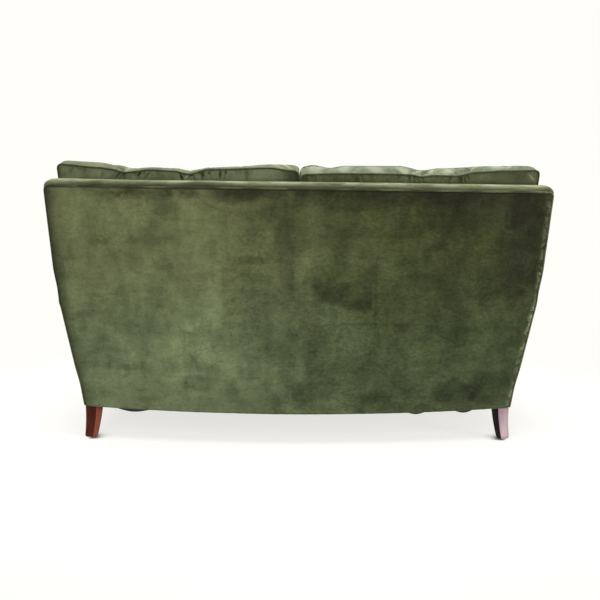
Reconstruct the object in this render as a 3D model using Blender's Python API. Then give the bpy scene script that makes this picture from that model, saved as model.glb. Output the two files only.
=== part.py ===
"""A two-seat French-style sofa in velvet, built up as an upholsterer builds one.

Metres, +Z up. The sofa faces -Y, and its left, for someone who sits in it, is +X.
The origin is on the floor, under the middle of the sofa.
A beech frame stands on four sabre legs. Webbing and coil springs carry a stuffed
platform. The back bows out in plan and its sides spread upwards. Two seat cushions
and two back cushions lie loose, and the back cushions reach out over the low arms.
"""

import math

import bmesh
import bpy
from mathutils import Vector

# Clearances
GAP = 0.0003
CUTTER_OVERRUN = 0.020
SIDES = {"left": 1, "right": -1}

# Whole sofa
SOFA_DEPTH = 0.930
BACK_HEIGHT = 0.896
COVER_BOTTOM = 0.122
COVER_THICKNESS = 0.006
PAD_CLEARANCE = 0.001
SIDE_SLACK = 0.001
ARM_END_CLEARANCE = 0.003

# Back: its outer width at the top, and how far each side comes in lower down
SOFA_WIDTH = 1.716
ARM_LEVEL_INSET = 0.032
FOOT_INSET = 0.108
BACK_BOW_RADIUS = 3.200
BACK_STEPS = 12
BACK_DEPTH = 0.130
OUTER_RAKE = math.radians(4.5)
INNER_RAKE = math.radians(10.0)
TOP_ROLL_HEIGHT = 0.028
TOP_ROLL_ROUND = 0.024
TOP_CORNER_RADIUS = 0.036
TOP_CORNER_DROP = 0.020
TOP_CORNER_SHARES = (0.35, 0.12)
LIP_THICKNESS = 0.004
BACK_UPHOLSTERY_FOOT = 0.245

# Welt round the outside back
WELT_RADIUS = 0.003
WELT_PROUD = 0.001
WELT_CORNER = 0.005

# Frame
RAIL_BOTTOM = 0.132
RAIL_HEIGHT = 0.100
FRAME_THICKNESS = 0.032
POST_WIDTH = 0.055
FRONT_POST_WIDTH = 0.050
SIDE_RAIL_THICKNESS = 0.028
CENTRE_RAIL_WIDTH = 0.030
CENTRE_RAIL_HEIGHT = 0.060
CENTRE_POST_WIDTH = 0.060
TOP_RAIL_HEIGHT = 0.070
TOP_RAIL_COVER = 0.014
LOWER_RAIL_BOTTOM = 0.345
LOWER_RAIL_HEIGHT = 0.060
BLOCK_LEG = 0.075
BLOCK_HEIGHT = 0.060
FRONT_FRAME_INSET = 0.035

# Arms
ARM_HEIGHT = 0.564
ROLL_RADIUS = 0.076
ROLL_OVERHANG = 0.014
ROLL_STEPS = 14
ROLL_END_ANGLE = math.radians(-62.0)
ARM_SPLAY = 0.030
ARM_FOOT_INSET = 0.044
ARM_WALL = 0.065
ARM_RAIL_WIDTH = 0.030
ARM_RAIL_HEIGHT = 0.060
ARM_LOWER_RAIL_HEIGHT = 0.040
ARM_LOWER_RAIL_WIDTH = 0.022
FACING_THICKNESS = 0.018
FACING_EDGE = 0.006

# Seat platform, springs and webbing
PLATFORM_HEIGHT = 0.310
PLATFORM_STUFFING = 0.034
PLATFORM_EDGE_ROUND = 0.012
HESSIAN_THICKNESS = 0.0015
HESSIAN_LAP = 0.010
HESSIAN_FRONT_SHOULDER = 0.080
HESSIAN_CLEARANCE = 0.006
HESSIAN_SLOPE = 0.050
HESSIAN_NOTCH_WIDTH = 0.040
HESSIAN_NOTCH_DEPTH = 0.014
WEBBING_THICKNESS = 0.002
WEBBING_WIDTH = 0.050
WEBBING_LAP = 0.020
SEAT_WEBS_ACROSS = 5
SEAT_WEBS_ALONG = 9
BACK_WEBS_ACROSS = 4
BACK_WEBS_UP = 9
BACK_WEB_INSET = 0.050
SPRING_RADIUS = 0.048
SPRING_WAIST = 0.034
SPRING_WIRE = 0.0035
SPRING_TURNS = 4.5
SPRING_POINTS_PER_TURN = 9
SPRING_COLUMNS = 4
SPRING_ROWS = 2

# Bottom cover
DUST_COVER_THICKNESS = 0.0015
DUST_COVER_SAG = 0.008
DUST_COVER_INSET = 0.003
DUST_COVER_NOTCH = 0.074
DUST_COVER_COLUMN_SHARES = (-1.0, -0.89, -0.45, 0.0, 0.45, 0.89, 1.0)
DUST_COVER_ROW_SHARES = (0.4, 0.65)

# Legs
LEG_TOP_WIDTH = 0.0385
LEG_FOOT_WIDTH = 0.0295
LEG_ARRIS = 0.003
LEG_SWEEP = 0.024
LEG_TURN = math.radians(20.0)
LEG_STEPS = 7
LEG_CLEARANCE = 0.001
GLIDE_RADIUS = 0.010
GLIDE_HEIGHT = 0.004
GLIDE_RIM = 0.0015
GLIDE_SIDES = 12
BOLT_RADIUS = 0.004
BOLT_SHIFT = 0.010
BOLT_IN_LEG = 0.045
BOLT_IN_POST = 0.060
BOLT_SIDES = 8

# Seat cushions
SEAT_CUSHION_BORDER = 0.138
SEAT_CROWN = 0.030
SEAT_CORNER_RADIUS = 0.030
SEAT_DRAW_IN = 0.006
CUSHION_PARTING = 0.003
SEAT_SIDE_CLEARANCE = 0.003

# Back cushions
BACK_CUSHION_TOP = 0.940
BACK_CUSHION_TOP_RISE = 0.020
BACK_CUSHION_THICKNESS = 0.150
BACK_CROWN = 0.038
BACK_CORNER_RADIUS = 0.030
BACK_CUSHION_DRAW_IN = 0.008
EAR_CLEARANCE = 0.016
EAR_INSET = 0.040
BACK_CUSHION_CLEARANCE = 0.0015
CUSHION_EDGE_SHARE = 0.4

# Worked out from the sizes above
REAR_Y = SOFA_DEPTH / 2
FRONT_Y = -SOFA_DEPTH / 2
FRONT_FRAME_Y = FRONT_Y + FRONT_FRAME_INSET
WELT_HEIGHT = BACK_HEIGHT - TOP_ROLL_HEIGHT
ROLL_CENTRE_Z = ARM_HEIGHT - ROLL_RADIUS
ROLL_CENTRE_X = SOFA_WIDTH / 2 - ARM_LEVEL_INSET + ROLL_OVERHANG - ROLL_RADIUS
RAIL_TOP = RAIL_BOTTOM + RAIL_HEIGHT
UPHOLSTERY_FOOT = RAIL_TOP + HESSIAN_THICKNESS + 3 * GAP
CHORD_SAG = (SOFA_WIDTH / BACK_STEPS) ** 2 / (8 * BACK_BOW_RADIUS)
SEAT_TOP = PLATFORM_HEIGHT + GAP + SEAT_CUSHION_BORDER


def make_material(name, colour, roughness, metallic=0.0):
    material = bpy.data.materials.new(name)
    material.use_nodes = True
    shader = material.node_tree.nodes["Principled BSDF"]
    shader.inputs["Base Color"].default_value = (*colour, 1.0)
    shader.inputs["Roughness"].default_value = roughness
    shader.inputs["Metallic"].default_value = metallic
    return material


def clear_scene():
    for thing in list(bpy.data.objects):
        bpy.data.objects.remove(thing)


clear_scene()
VELVET = make_material("velvet", (0.115, 0.140, 0.062), 0.85)
STUFFED_VELVET = make_material("stuffed_velvet", (0.125, 0.150, 0.070), 0.85)
PLATFORM_CLOTH = make_material("platform_cloth", (0.090, 0.110, 0.055), 0.90)
MAHOGANY = make_material("mahogany", (0.150, 0.045, 0.026), 0.35)
BEECH = make_material("beech", (0.520, 0.360, 0.210), 0.60)
JUTE = make_material("jute", (0.430, 0.310, 0.170), 0.90)
BLACK_CAMBRIC = make_material("black_cambric", (0.012, 0.013, 0.017), 0.90)
SPRING_STEEL = make_material("spring_steel", (0.350, 0.330, 0.300), 0.40, 1.0)
NICKEL = make_material("nickel", (0.620, 0.590, 0.550), 0.30, 1.0)


def solid(name, bm, material, origin=(0.0, 0.0, 0.0)):
    """Turns a closed bmesh in world coordinates into an object whose own origin is origin."""
    bmesh.ops.recalc_face_normals(bm, faces=bm.faces[:])
    bmesh.ops.translate(bm, verts=bm.verts[:], vec=-Vector(origin))
    mesh = bpy.data.meshes.new(name)
    bm.to_mesh(mesh)
    bm.free()
    mesh.materials.append(material)
    made = bpy.data.objects.new(name, mesh)
    made.location = origin
    bpy.context.scene.collection.objects.link(made)
    return made


def loft(name, rings, material, origin=(0.0, 0.0, 0.0)):
    """A closed solid through rings of equally many points, capped at both ends."""
    bm = bmesh.new()
    rows = [[bm.verts.new(point) for point in ring] for ring in rings]
    count = len(rings[0])
    for near, far in zip(rows, rows[1:]):
        for k in range(count):
            after = (k + 1) % count
            bm.faces.new((near[k], near[after], far[after], far[k]))
    bm.faces.new(rows[0])
    bm.faces.new(rows[-1])
    bmesh.ops.triangulate(bm, faces=bm.faces[:])
    return solid(name, bm, material, origin)


def slab(name, lower, upper, material, keep=None, origin=(0.0, 0.0, 0.0)):
    """A closed sheet between two grids of points. keep says which of its cells are there."""
    columns, rows = len(lower) - 1, len(lower[0]) - 1
    cells = [(i, j) for i in range(columns) for j in range(rows) if keep is None or keep(i, j)]
    kept = set(cells)
    bm = bmesh.new()
    made = {}

    def vertex(side, i, j):
        if (side, i, j) not in made:
            made[side, i, j] = bm.verts.new((lower, upper)[side][i][j])
        return made[side, i, j]

    for i, j in cells:
        ring = [(i, j), (i + 1, j), (i + 1, j + 1), (i, j + 1)]
        for side in (0, 1):
            bm.faces.new([vertex(side, *corner) for corner in ring])
        beyond = [(i, j - 1), (i + 1, j), (i, j + 1), (i - 1, j)]
        for start, end, neighbour in zip(ring, ring[1:] + ring[:1], beyond):
            if neighbour not in kept:
                rim = (vertex(0, *start), vertex(0, *end), vertex(1, *end), vertex(1, *start))
                bm.faces.new(rim)
    bmesh.ops.triangulate(bm, faces=bm.faces[:])
    return solid(name, bm, material, origin)


def tube(name, points, radius, resolution, material):
    """A round wire or cord through points, with filled ends."""
    curve = bpy.data.curves.new(name, "CURVE")
    curve.dimensions = "3D"
    curve.bevel_depth = radius
    curve.bevel_resolution = resolution
    curve.use_fill_caps = True
    spline = curve.splines.new("POLY")
    spline.points.add(len(points) - 1)
    for target, point in zip(spline.points, points):
        target.co = (*point, 1.0)
    curve.materials.append(material)
    made = bpy.data.objects.new(name, curve)
    bpy.context.scene.collection.objects.link(made)
    return made


def turned(name, profile, centre, sides, material):
    """A piece turned about a vertical axis, from (radius, height) pairs, foot first."""
    rings = []
    for radius, height in profile:
        ring = []
        for k in range(sides):
            angle = 2 * math.pi * k / sides
            x = centre.x + radius * math.cos(angle)
            y = centre.y + radius * math.sin(angle)
            ring.append(Vector((x, y, centre.z + height)))
        rings.append(ring)
    return loft(name, rings, material)


def cut(target, cutter):
    """Cuts one solid out of another. The cutter is a helper and isn't part of the sofa."""
    cutter.hide_render = True
    cutter.display_type = "WIRE"
    modifier = target.modifiers.new("cut_" + cutter.name, "BOOLEAN")
    modifier.operation = "DIFFERENCE"
    modifier.object = cutter


def spread(start, end, steps):
    """Evenly spaced values from start to end, both included."""
    return [start + (end - start) * k / steps for k in range(steps + 1)]


def smooth(share):
    """0 before 0, 1 after 1, and a soft S between."""
    share = min(1.0, max(0.0, share))
    return share * share * (3 - 2 * share)


# The back's outer and inner surfaces, which most pieces follow

def bow(x):
    """How far the back has come forward at x, because it bows out in plan."""
    return x * x / (2 * BACK_BOW_RADIUS)


def half_width(z):
    """Half the sofa's outer width at height z. The sides stand steeper above the arm rolls."""
    arm = SOFA_WIDTH / 2 - ARM_LEVEL_INSET
    if z > ROLL_CENTRE_Z:
        return arm + ARM_LEVEL_INSET * (z - ROLL_CENTRE_Z) / (WELT_HEIGHT - ROLL_CENTRE_Z)
    below = FOOT_INSET - ARM_LEVEL_INSET
    return arm - below * (ROLL_CENTRE_Z - z) / (ROLL_CENTRE_Z - COVER_BOTTOM)


def back_heights(bottom, top, steps):
    """Heights from bottom to top, with one where the sides change their slope."""
    if not bottom < ROLL_CENTRE_Z < top:
        return spread(bottom, top, steps)
    return spread(bottom, ROLL_CENTRE_Z, steps) + spread(ROLL_CENTRE_Z, top, steps)[1:]


def outer_y(x, z):
    """The outside back's velvet face."""
    top = REAR_Y - WELT_PROUD
    return top - (WELT_HEIGHT - z) * math.tan(OUTER_RAKE) - bow(x)


def frame_rear_y(x, z):
    return outer_y(x, z) - COVER_THICKNESS - CHORD_SAG - GAP


def frame_front_y(x, z):
    return frame_rear_y(x, z) - FRAME_THICKNESS


def upholstery_rear_y(x, z):
    """Where the stuffing of the back and arms ends, just clear of the back's webbing."""
    return frame_front_y(x, z) - WEBBING_THICKNESS - 3 * CHORD_SAG - 2 * GAP


def inner_y(x, z):
    """The inside back's front face."""
    foot = outer_y(0.0, PLATFORM_HEIGHT) - BACK_DEPTH
    return foot + (z - PLATFORM_HEIGHT) * math.tan(INNER_RAKE) - bow(x)


def splay(y):
    """How far an arm has spread outwards at y. It runs straight from back to front."""
    start = frame_front_y(ROLL_CENTRE_X, ROLL_CENTRE_Z)
    share = (start - y) / (start - FRONT_FRAME_Y)
    return ARM_SPLAY * max(0.0, share)


def arm_inner_x(z):
    """The inside arm's face at the back end, from its foot up to the roll's inner side."""
    top = ROLL_CENTRE_X - ROLL_RADIUS
    slope = ARM_FOOT_INSET / (ROLL_CENTRE_Z - PLATFORM_HEIGHT)
    return top - (ROLL_CENTRE_Z - z) * slope


# Frame

def post_outer_x(z):
    return half_width(z) - COVER_THICKNESS - SIDE_SLACK


def post_inner_x(z):
    return post_outer_x(z) - POST_WIDTH


def front_post_outer_x(z):
    return half_width(z) + splay(FRONT_RAIL_REAR_Y) - COVER_THICKNESS - SIDE_SLACK


def front_post_inner_x(z):
    return front_post_outer_x(z) - FRONT_POST_WIDTH


def side_rail_x(y):
    """The side seat rail's outer face."""
    return half_width(RAIL_BOTTOM) + splay(y) - COVER_THICKNESS - SIDE_SLACK


ARM_RAIL_TOP = ROLL_CENTRE_Z - ROLL_RADIUS / 4
ARM_RAIL_BOTTOM = ARM_RAIL_TOP - ARM_RAIL_HEIGHT
ARM_RAIL_X = ROLL_CENTRE_X - ROLL_RADIUS / 15
FRONT_POST_TOP = ARM_RAIL_BOTTOM - GAP
ARM_LOWER_RAIL_BOTTOM = (RAIL_TOP + ARM_RAIL_BOTTOM - ARM_LOWER_RAIL_HEIGHT) / 2
POST_TOP = BACK_HEIGHT - TOP_RAIL_COVER - 2 * GAP
TOP_RAIL_BOTTOM = POST_TOP - TOP_RAIL_HEIGHT
FRONT_RAIL_REAR_Y = FRONT_FRAME_Y + FRAME_THICKNESS


def bowed_rail(name, bottom, height, x_start, x_end):
    """A back rail that follows the bow, from x_start(z) to x_end(z)."""
    rings = []
    for share in spread(0.0, 1.0, BACK_STEPS):
        ring = []
        for z, face in (
            (bottom, frame_rear_y),
            (bottom, frame_front_y),
            (bottom + height, frame_front_y),
            (bottom + height, frame_rear_y),
        ):
            x = x_start(z) + (x_end(z) - x_start(z)) * share
            ring.append(Vector((x, face(x, z), z)))
        rings.append(ring)
    return loft(name, rings, BEECH)


def between_posts(name, bottom, height):
    def end(z):
        return post_inner_x(z) - GAP

    return bowed_rail(name, bottom, height, lambda z: -end(z), end)


def back_post(name, side):
    rings = []
    for z in back_heights(RAIL_BOTTOM, POST_TOP, 3):
        inner, outer = side * post_inner_x(z), side * post_outer_x(z)
        rings.append([
            Vector((inner, frame_front_y(inner, z), z)),
            Vector((outer, frame_front_y(outer, z), z)),
            Vector((outer, frame_rear_y(outer, z), z)),
            Vector((inner, frame_rear_y(inner, z), z)),
        ])
    return loft(name, rings, BEECH)


def front_post(name, side):
    rings = []
    for z in spread(RAIL_BOTTOM, FRONT_POST_TOP, 2):
        inner, outer = side * front_post_inner_x(z), side * front_post_outer_x(z)
        rings.append([
            Vector((inner, FRONT_FRAME_Y, z)),
            Vector((outer, FRONT_FRAME_Y, z)),
            Vector((outer, FRONT_RAIL_REAR_Y, z)),
            Vector((inner, FRONT_RAIL_REAR_Y, z)),
        ])
    return loft(name, rings, BEECH)


def long_rail(name, side, corner_xs, bottom, height, front_y):
    """A rail from the back post's face to front_y. corner_xs(y) gives its inner and outer x."""
    rings = []
    for at_back in (True, False):
        ring = []
        for k, z in ((0, bottom), (1, bottom), (1, bottom + height), (0, bottom + height)):
            y = front_y
            if at_back:
                x = corner_xs(frame_front_y(side_rail_x(0.0), z))[k]
                y = frame_front_y(x, z) - GAP
            ring.append(Vector((side * corner_xs(y)[k], y, z)))
        rings.append(ring)
    return loft(name, rings, BEECH)


def side_rail_xs(y):
    return side_rail_x(y) - SIDE_RAIL_THICKNESS, side_rail_x(y)


def arm_rail_xs(y):
    start = ARM_RAIL_X + splay(y)
    return start, start + ARM_RAIL_WIDTH


def arm_lower_rail_xs(y):
    """It backs the outside arm, so it leans out with it."""
    outer = half_width(ARM_LOWER_RAIL_BOTTOM) + splay(y) - COVER_THICKNESS - SIDE_SLACK
    return outer - ARM_LOWER_RAIL_WIDTH, outer


def corner_block(name, side, at_front):
    """A glued triangular block in an inner corner of the seat frame."""
    rings = []
    for z in (RAIL_BOTTOM, RAIL_BOTTOM + BLOCK_HEIGHT):
        ring = []
        for across, along in ((0.0, 0.0), (BLOCK_LEG, 0.0), (0.0, BLOCK_LEG)):
            if at_front:
                y = FRONT_RAIL_REAR_Y + along + GAP
            else:
                x = side_rail_x(0.0) - SIDE_RAIL_THICKNESS - across
                y = frame_front_y(x, z) - along - CHORD_SAG - GAP
            inner = side_rail_xs(y)[0] - across - 2 * GAP
            ring.append(Vector((side * inner, y, z)))
        rings.append(ring)
    return loft(name, rings, BEECH)


def centre_rail():
    half = CENTRE_RAIL_WIDTH / 2
    rings = []
    for z in (RAIL_BOTTOM, RAIL_BOTTOM + CENTRE_RAIL_HEIGHT):
        rear = frame_front_y(half, z) - CHORD_SAG - GAP
        front = FRONT_RAIL_REAR_Y + GAP
        corners = ((-half, front), (half, front), (half, rear), (-half, rear))
        rings.append([Vector((x, y, z)) for x, y in corners])
    return loft("centre_seat_rail", rings, BEECH)


def centre_post():
    half = CENTRE_POST_WIDTH / 2
    rings = []
    for z in (UPHOLSTERY_FOOT, TOP_RAIL_BOTTOM - GAP):
        rings.append([
            Vector((-half, frame_front_y(half, z), z)),
            Vector((half, frame_front_y(half, z), z)),
            Vector((half, frame_rear_y(half, z), z)),
            Vector((-half, frame_rear_y(half, z), z)),
        ])
    return loft("back_centre_post", rings, BEECH)


def front_rail():
    rings = []
    for side in (-1, 1):
        ring = []
        for y, z in (
            (FRONT_FRAME_Y, RAIL_BOTTOM),
            (FRONT_RAIL_REAR_Y, RAIL_BOTTOM),
            (FRONT_RAIL_REAR_Y, RAIL_TOP),
            (FRONT_FRAME_Y, RAIL_TOP),
        ):
            ring.append(Vector((side * (front_post_inner_x(z) - GAP), y, z)))
        rings.append(ring)
    return loft("front_seat_rail", rings, BEECH)


def build_frame():
    """Returns the posts by name, because the leg bolts are bored into them."""
    between_posts("rear_seat_rail", RAIL_BOTTOM, RAIL_HEIGHT)
    between_posts("back_top_rail", TOP_RAIL_BOTTOM, TOP_RAIL_HEIGHT)
    front_rail()
    centre_rail()
    centre_post()
    posts = {}
    for word, side in SIDES.items():
        posts["rear_" + word] = back_post("back_post_" + word, side)
        posts["front_" + word] = front_post("arm_front_post_" + word, side)
        bowed_rail(
            "back_lower_rail_" + word,
            LOWER_RAIL_BOTTOM,
            LOWER_RAIL_HEIGHT,
            lambda z, side=side: side * (CENTRE_POST_WIDTH / 2 + GAP),
            lambda z, side=side: side * (post_inner_x(z) - GAP),
        )
        rear_of_post = FRONT_RAIL_REAR_Y + GAP
        long_rail("side_seat_rail_" + word, side, side_rail_xs, RAIL_BOTTOM, RAIL_HEIGHT, rear_of_post)
        long_rail(
            "arm_top_rail_" + word, side, arm_rail_xs, ARM_RAIL_BOTTOM, ARM_RAIL_HEIGHT, FRONT_FRAME_Y
        )
        long_rail(
            "arm_lower_rail_" + word,
            side,
            arm_lower_rail_xs,
            ARM_LOWER_RAIL_BOTTOM,
            ARM_LOWER_RAIL_HEIGHT,
            rear_of_post,
        )
        corner_block("corner_block_front_" + word, side, True)
        corner_block("corner_block_rear_" + word, side, False)
    return posts


# Legs, glides and bolts

LEG_TOP = RAIL_BOTTOM - GAP
LEG_FOOT = GLIDE_HEIGHT + GAP


def leg_centre(side, at_front):
    """Where a leg meets the frame: as near the corner as its turned square goes."""
    reach = LEG_TOP_WIDTH / 2 * (math.sin(LEG_TURN) + math.cos(LEG_TURN)) + LEG_CLEARANCE
    z = RAIL_BOTTOM
    if at_front:
        return Vector((side * (front_post_outer_x(z) - reach), FRONT_FRAME_Y + reach, LEG_TOP))
    x = post_outer_x(z) - reach
    return Vector((side * x, frame_rear_y(post_outer_x(z), z) - reach, LEG_TOP))


def leg_way(side, at_front):
    """The level direction in which a leg sweeps, outwards and away from the seat."""
    return Vector((side * math.sin(LEG_TURN), -math.cos(LEG_TURN) if at_front else math.cos(LEG_TURN), 0.0))


def sabre_leg(name, side, at_front):
    top, way = leg_centre(side, at_front), leg_way(side, at_front)
    across = Vector((-way.y, way.x, 0.0))
    rings = []
    for share in spread(0.0, 1.0, LEG_STEPS):
        half = (LEG_TOP_WIDTH + (LEG_FOOT_WIDTH - LEG_TOP_WIDTH) * share) / 2
        middle = top + way * (LEG_SWEEP * share * share)
        middle.z = LEG_TOP + (LEG_FOOT - LEG_TOP) * share
        ring = []
        for u, v in ((1, 1), (-1, 1), (-1, -1), (1, -1)):
            first, second = (LEG_ARRIS, 0.0), (0.0, LEG_ARRIS)
            if u * v > 0:
                first, second = second, first
            for less_u, less_v in (first, second):
                ring.append(middle + way * (u * (half - less_u)) + across * (v * (half - less_v)))
        rings.append(ring)
    return loft(name, rings, MAHOGANY)


def build_legs(posts):
    for word, side in SIDES.items():
        for place, at_front in (("front", True), ("rear", False)):
            label = place + "_" + word
            leg = sabre_leg(place + "_leg_" + word, side, at_front)
            top, way = leg_centre(side, at_front), leg_way(side, at_front)
            foot = top + way * LEG_SWEEP
            foot.z = 0.0
            turned(
                "glide_" + label,
                ((GLIDE_RADIUS / 2, 0.0), (GLIDE_RADIUS, GLIDE_RIM), (GLIDE_RADIUS, GLIDE_HEIGHT)),
                foot,
                GLIDE_SIDES,
                NICKEL,
            )
            hole = top + way * BOLT_SHIFT
            bolt = ((BOLT_RADIUS, -BOLT_IN_LEG), (BOLT_RADIUS, BOLT_IN_POST))
            turned("leg_bolt_" + label, bolt, hole, BOLT_SIDES, SPRING_STEEL)
            wide, slack = BOLT_RADIUS + GAP, 2 * GAP
            bore = ((wide, -BOLT_IN_LEG - slack), (wide, BOLT_IN_POST + slack))
            cutter = turned("bore_" + label, bore, hole, BOLT_SIDES, SPRING_STEEL)
            cut(leg, cutter)
            cut(posts[label], cutter)


# Seat webbing, springs, hessian and platform

def strap_edges(start, end, count, width):
    """Grid lines for count straps of that width, evenly set between start and end."""
    pitch = (end - start) / count
    edges = [start]
    for k in range(count):
        middle = start + pitch * (k + 1 / 2)
        edges += [middle - width / 2, middle + width / 2]
    return edges + [end]


def in_a_strap(i, j):
    """Straps fill the odd intervals between strap_edges."""
    return i % 2 == 1 or j % 2 == 1


def seat_webbing():
    """Jute straps, tacked under the seat rails and crossed."""
    top = RAIL_BOTTOM - GAP
    half = side_rail_x(0.0) - SIDE_RAIL_THICKNESS + WEBBING_LAP
    corner = DUST_COVER_NOTCH - WEBBING_LAP
    front = FRONT_RAIL_REAR_Y - WEBBING_LAP
    inner = half - corner
    xs = [-half] + strap_edges(-inner, inner, SEAT_WEBS_ALONG, WEBBING_WIDTH)[1:-1] + [half]
    rear_middle = frame_front_y(0.0, RAIL_BOTTOM) + WEBBING_LAP
    rear_side = frame_front_y(inner, RAIL_BOTTOM) - corner
    shares = strap_edges(0.0, 1.0, SEAT_WEBS_ACROSS, WEBBING_WIDTH / (rear_middle - front))
    lower, upper = [], []
    for x in xs:
        rear = rear_middle - bow(x)
        ys = [front] + [front + corner + (rear_side - front - corner) * s for s in shares[1:-1]] + [rear]
        lower.append([Vector((x, y, top - WEBBING_THICKNESS)) for y in ys])
        upper.append([Vector((x, y, top)) for y in ys])
    return slab("seat_webbing", lower, upper, JUTE, in_a_strap)


HESSIAN_TOP = PLATFORM_HEIGHT - PLATFORM_STUFFING - GAP
SPRING_FOOT = RAIL_BOTTOM
SPRING_HEIGHT = HESSIAN_TOP - HESSIAN_THICKNESS - GAP - SPRING_FOOT


def coil_spring(name, x, y):
    """An hourglass spring: one wire, wide at both ends and drawn in at its waist."""
    steps = round(SPRING_TURNS * SPRING_POINTS_PER_TURN)
    reach = SPRING_HEIGHT - 2 * SPRING_WIRE / 2
    points = []
    for k in range(steps + 1):
        share = k / steps
        angle = 2 * math.pi * SPRING_TURNS * share
        radius = SPRING_WAIST + (SPRING_RADIUS - SPRING_WAIST) * (2 * share - 1) ** 2
        z = SPRING_FOOT + SPRING_WIRE / 2 + reach * share
        points.append(Vector((x + radius * math.cos(angle), y + radius * math.sin(angle), z)))
    return tube(name, points, SPRING_WIRE / 2, 0, SPRING_STEEL)


HESSIAN_LIFT = HESSIAN_TOP - RAIL_TOP - HESSIAN_THICKNESS - GAP
RISE_SHARES = (0.0, 0.0, 0.0, 0.5, 1.0)


def shoulder_insets(notch, shoulder):
    """Grid lines from an edge of the hessian to where it lies level on the springs."""
    return [0.0, notch, shoulder, shoulder + HESSIAN_SLOPE / 2, shoulder + HESSIAN_SLOPE]


def hessian_half(y):
    return side_rail_xs(y)[0] + HESSIAN_LAP


def hessian_rear(x):
    return frame_front_y(x, RAIL_TOP) + HESSIAN_LAP


def side_shoulder():
    """How wide the hessian lies flat along each side: as far in as the inside arm's foot."""
    return hessian_half(0.0) - platform_half(0.0, UPHOLSTERY_FOOT) + HESSIAN_CLEARANCE


def rear_shoulder():
    """The same along the rear, as far in as the inside back's foot."""
    return hessian_rear(0.0) - platform_rear_y(0.0, UPHOLSTERY_FOOT) + HESSIAN_CLEARANCE


def hessian_point(i, j):
    """The hessian's grid point (x, y, share of its full rise) in column i and row j."""
    across = shoulder_insets(HESSIAN_NOTCH_WIDTH, side_shoulder())
    along = shoulder_insets(HESSIAN_NOTCH_DEPTH, HESSIAN_FRONT_SHOULDER)
    rear = shoulder_insets(HESSIAN_NOTCH_DEPTH, rear_shoulder())
    front = FRONT_RAIL_REAR_Y - HESSIAN_LAP
    level_i, level_j = min(i, 10 - i), min(j, 9 - j)
    y = front + along[level_j] if j < 5 else hessian_rear(0.0) - rear[level_j]
    half = hessian_half(y)
    x = 0.0 if i == 5 else half - across[level_i]
    if i < 5:
        x = -x
    if j > 4:
        y -= bow(x)
    return x, y, RISE_SHARES[min(level_i, level_j, 4)]


def build_springs():
    """Rows of springs spread evenly under the level part of the hessian."""
    front = FRONT_RAIL_REAR_Y - HESSIAN_LAP + HESSIAN_FRONT_SHOULDER + HESSIAN_SLOPE
    half = hessian_half(front) - side_shoulder() - HESSIAN_SLOPE
    rear = hessian_rear(half) - rear_shoulder() - HESSIAN_SLOPE
    for row in range(SPRING_ROWS):
        for column in range(SPRING_COLUMNS):
            x = half * (2 * (column + 1 / 2) / SPRING_COLUMNS - 1)
            y = front + (rear - front) * (row + 1 / 2) / SPRING_ROWS
            coil_spring(f"seat_spring_{row * SPRING_COLUMNS + column + 1}", x, y)


def spring_hessian():
    """Burlap stretched over the springs and tacked on top of the seat rails."""
    base = RAIL_TOP + GAP
    lower, upper = [], []
    for i in range(11):
        points = [hessian_point(i, j) for j in range(10)]
        lower.append([Vector((x, y, base + HESSIAN_LIFT * share)) for x, y, share in points])
        upper.append([point + Vector((0, 0, HESSIAN_THICKNESS)) for point in lower[-1]])

    def keep(i, j):
        return not (i in (0, 9) and j in (0, 8))

    return slab("spring_hessian", lower, upper, JUTE, keep)


def platform_half(y, z):
    return arm_inner_x(z) + splay(y) - PAD_CLEARANCE


def platform_rear_y(x, z):
    return inner_y(x, z) - CHORD_SAG - GAP


def seat_platform():
    """The stuffed deck under the seat cushions. Its front edge is a firm roll."""
    lower, upper = [], []
    for i in [None] + list(range(2, 9)) + [None]:
        low_column, high_column = [], []
        for j in [-1, 0] + list(range(2, 8)) + [9]:
            column = i if i is not None else 2
            x, y, share = hessian_point(column, min(max(j, 2), 7))
            if j < 1:
                y, share = FRONT_FRAME_Y + (PLATFORM_EDGE_ROUND if j == 0 else 0.0), 0.0
            if i is None:
                side = -1 if not lower else 1
                x, share = side * platform_half(y, UPHOLSTERY_FOOT), 0.0
            if j == 9:
                y, share = platform_rear_y(x, UPHOLSTERY_FOOT), 0.0
            low_column.append(Vector((x, y, UPHOLSTERY_FOOT + HESSIAN_LIFT * share)))
            height = PLATFORM_HEIGHT - (PLATFORM_EDGE_ROUND if j == -1 else 0.0)
            if i is None:
                x = side * platform_half(y, height)
            high_column.append(Vector((x, y, height)))
        lower.append(low_column)
        upper.append(high_column)
    return slab("seat_platform", lower, upper, PLATFORM_CLOTH)


# Back webbing and inside back

def back_webbing():
    """Straps on the front of the back frame, between its lower and top rails."""
    low = LOWER_RAIL_BOTTOM + LOWER_RAIL_HEIGHT - WEBBING_LAP
    high = TOP_RAIL_BOTTOM + WEBBING_LAP
    widest = post_inner_x(high)
    shares = strap_edges(-1.0, 1.0, BACK_WEBS_UP, WEBBING_WIDTH / widest)
    heights = strap_edges(low, high, BACK_WEBS_ACROSS, WEBBING_WIDTH)
    lower, upper = [], []
    for share in shares:
        low_column, high_column = [], []
        for z in heights:
            x = share * (post_inner_x(z) - BACK_WEB_INSET)
            y = frame_front_y(x, z) - CHORD_SAG - GAP
            low_column.append(Vector((x, y - WEBBING_THICKNESS, z)))
            high_column.append(Vector((x, y, z)))
        lower.append(low_column)
        upper.append(high_column)
    return slab("back_webbing", lower, upper, JUTE, in_a_strap)


def top_corner_drop(x, z):
    """How far the top roll has fallen at x, where it rounds the back's top corner."""
    into = (abs(x) - (half_width(z) - TOP_CORNER_RADIUS)) / TOP_CORNER_RADIUS
    into = min(1.0, max(0.0, into))
    return TOP_CORNER_DROP * (1 - math.sqrt(1 - into * into))


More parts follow.
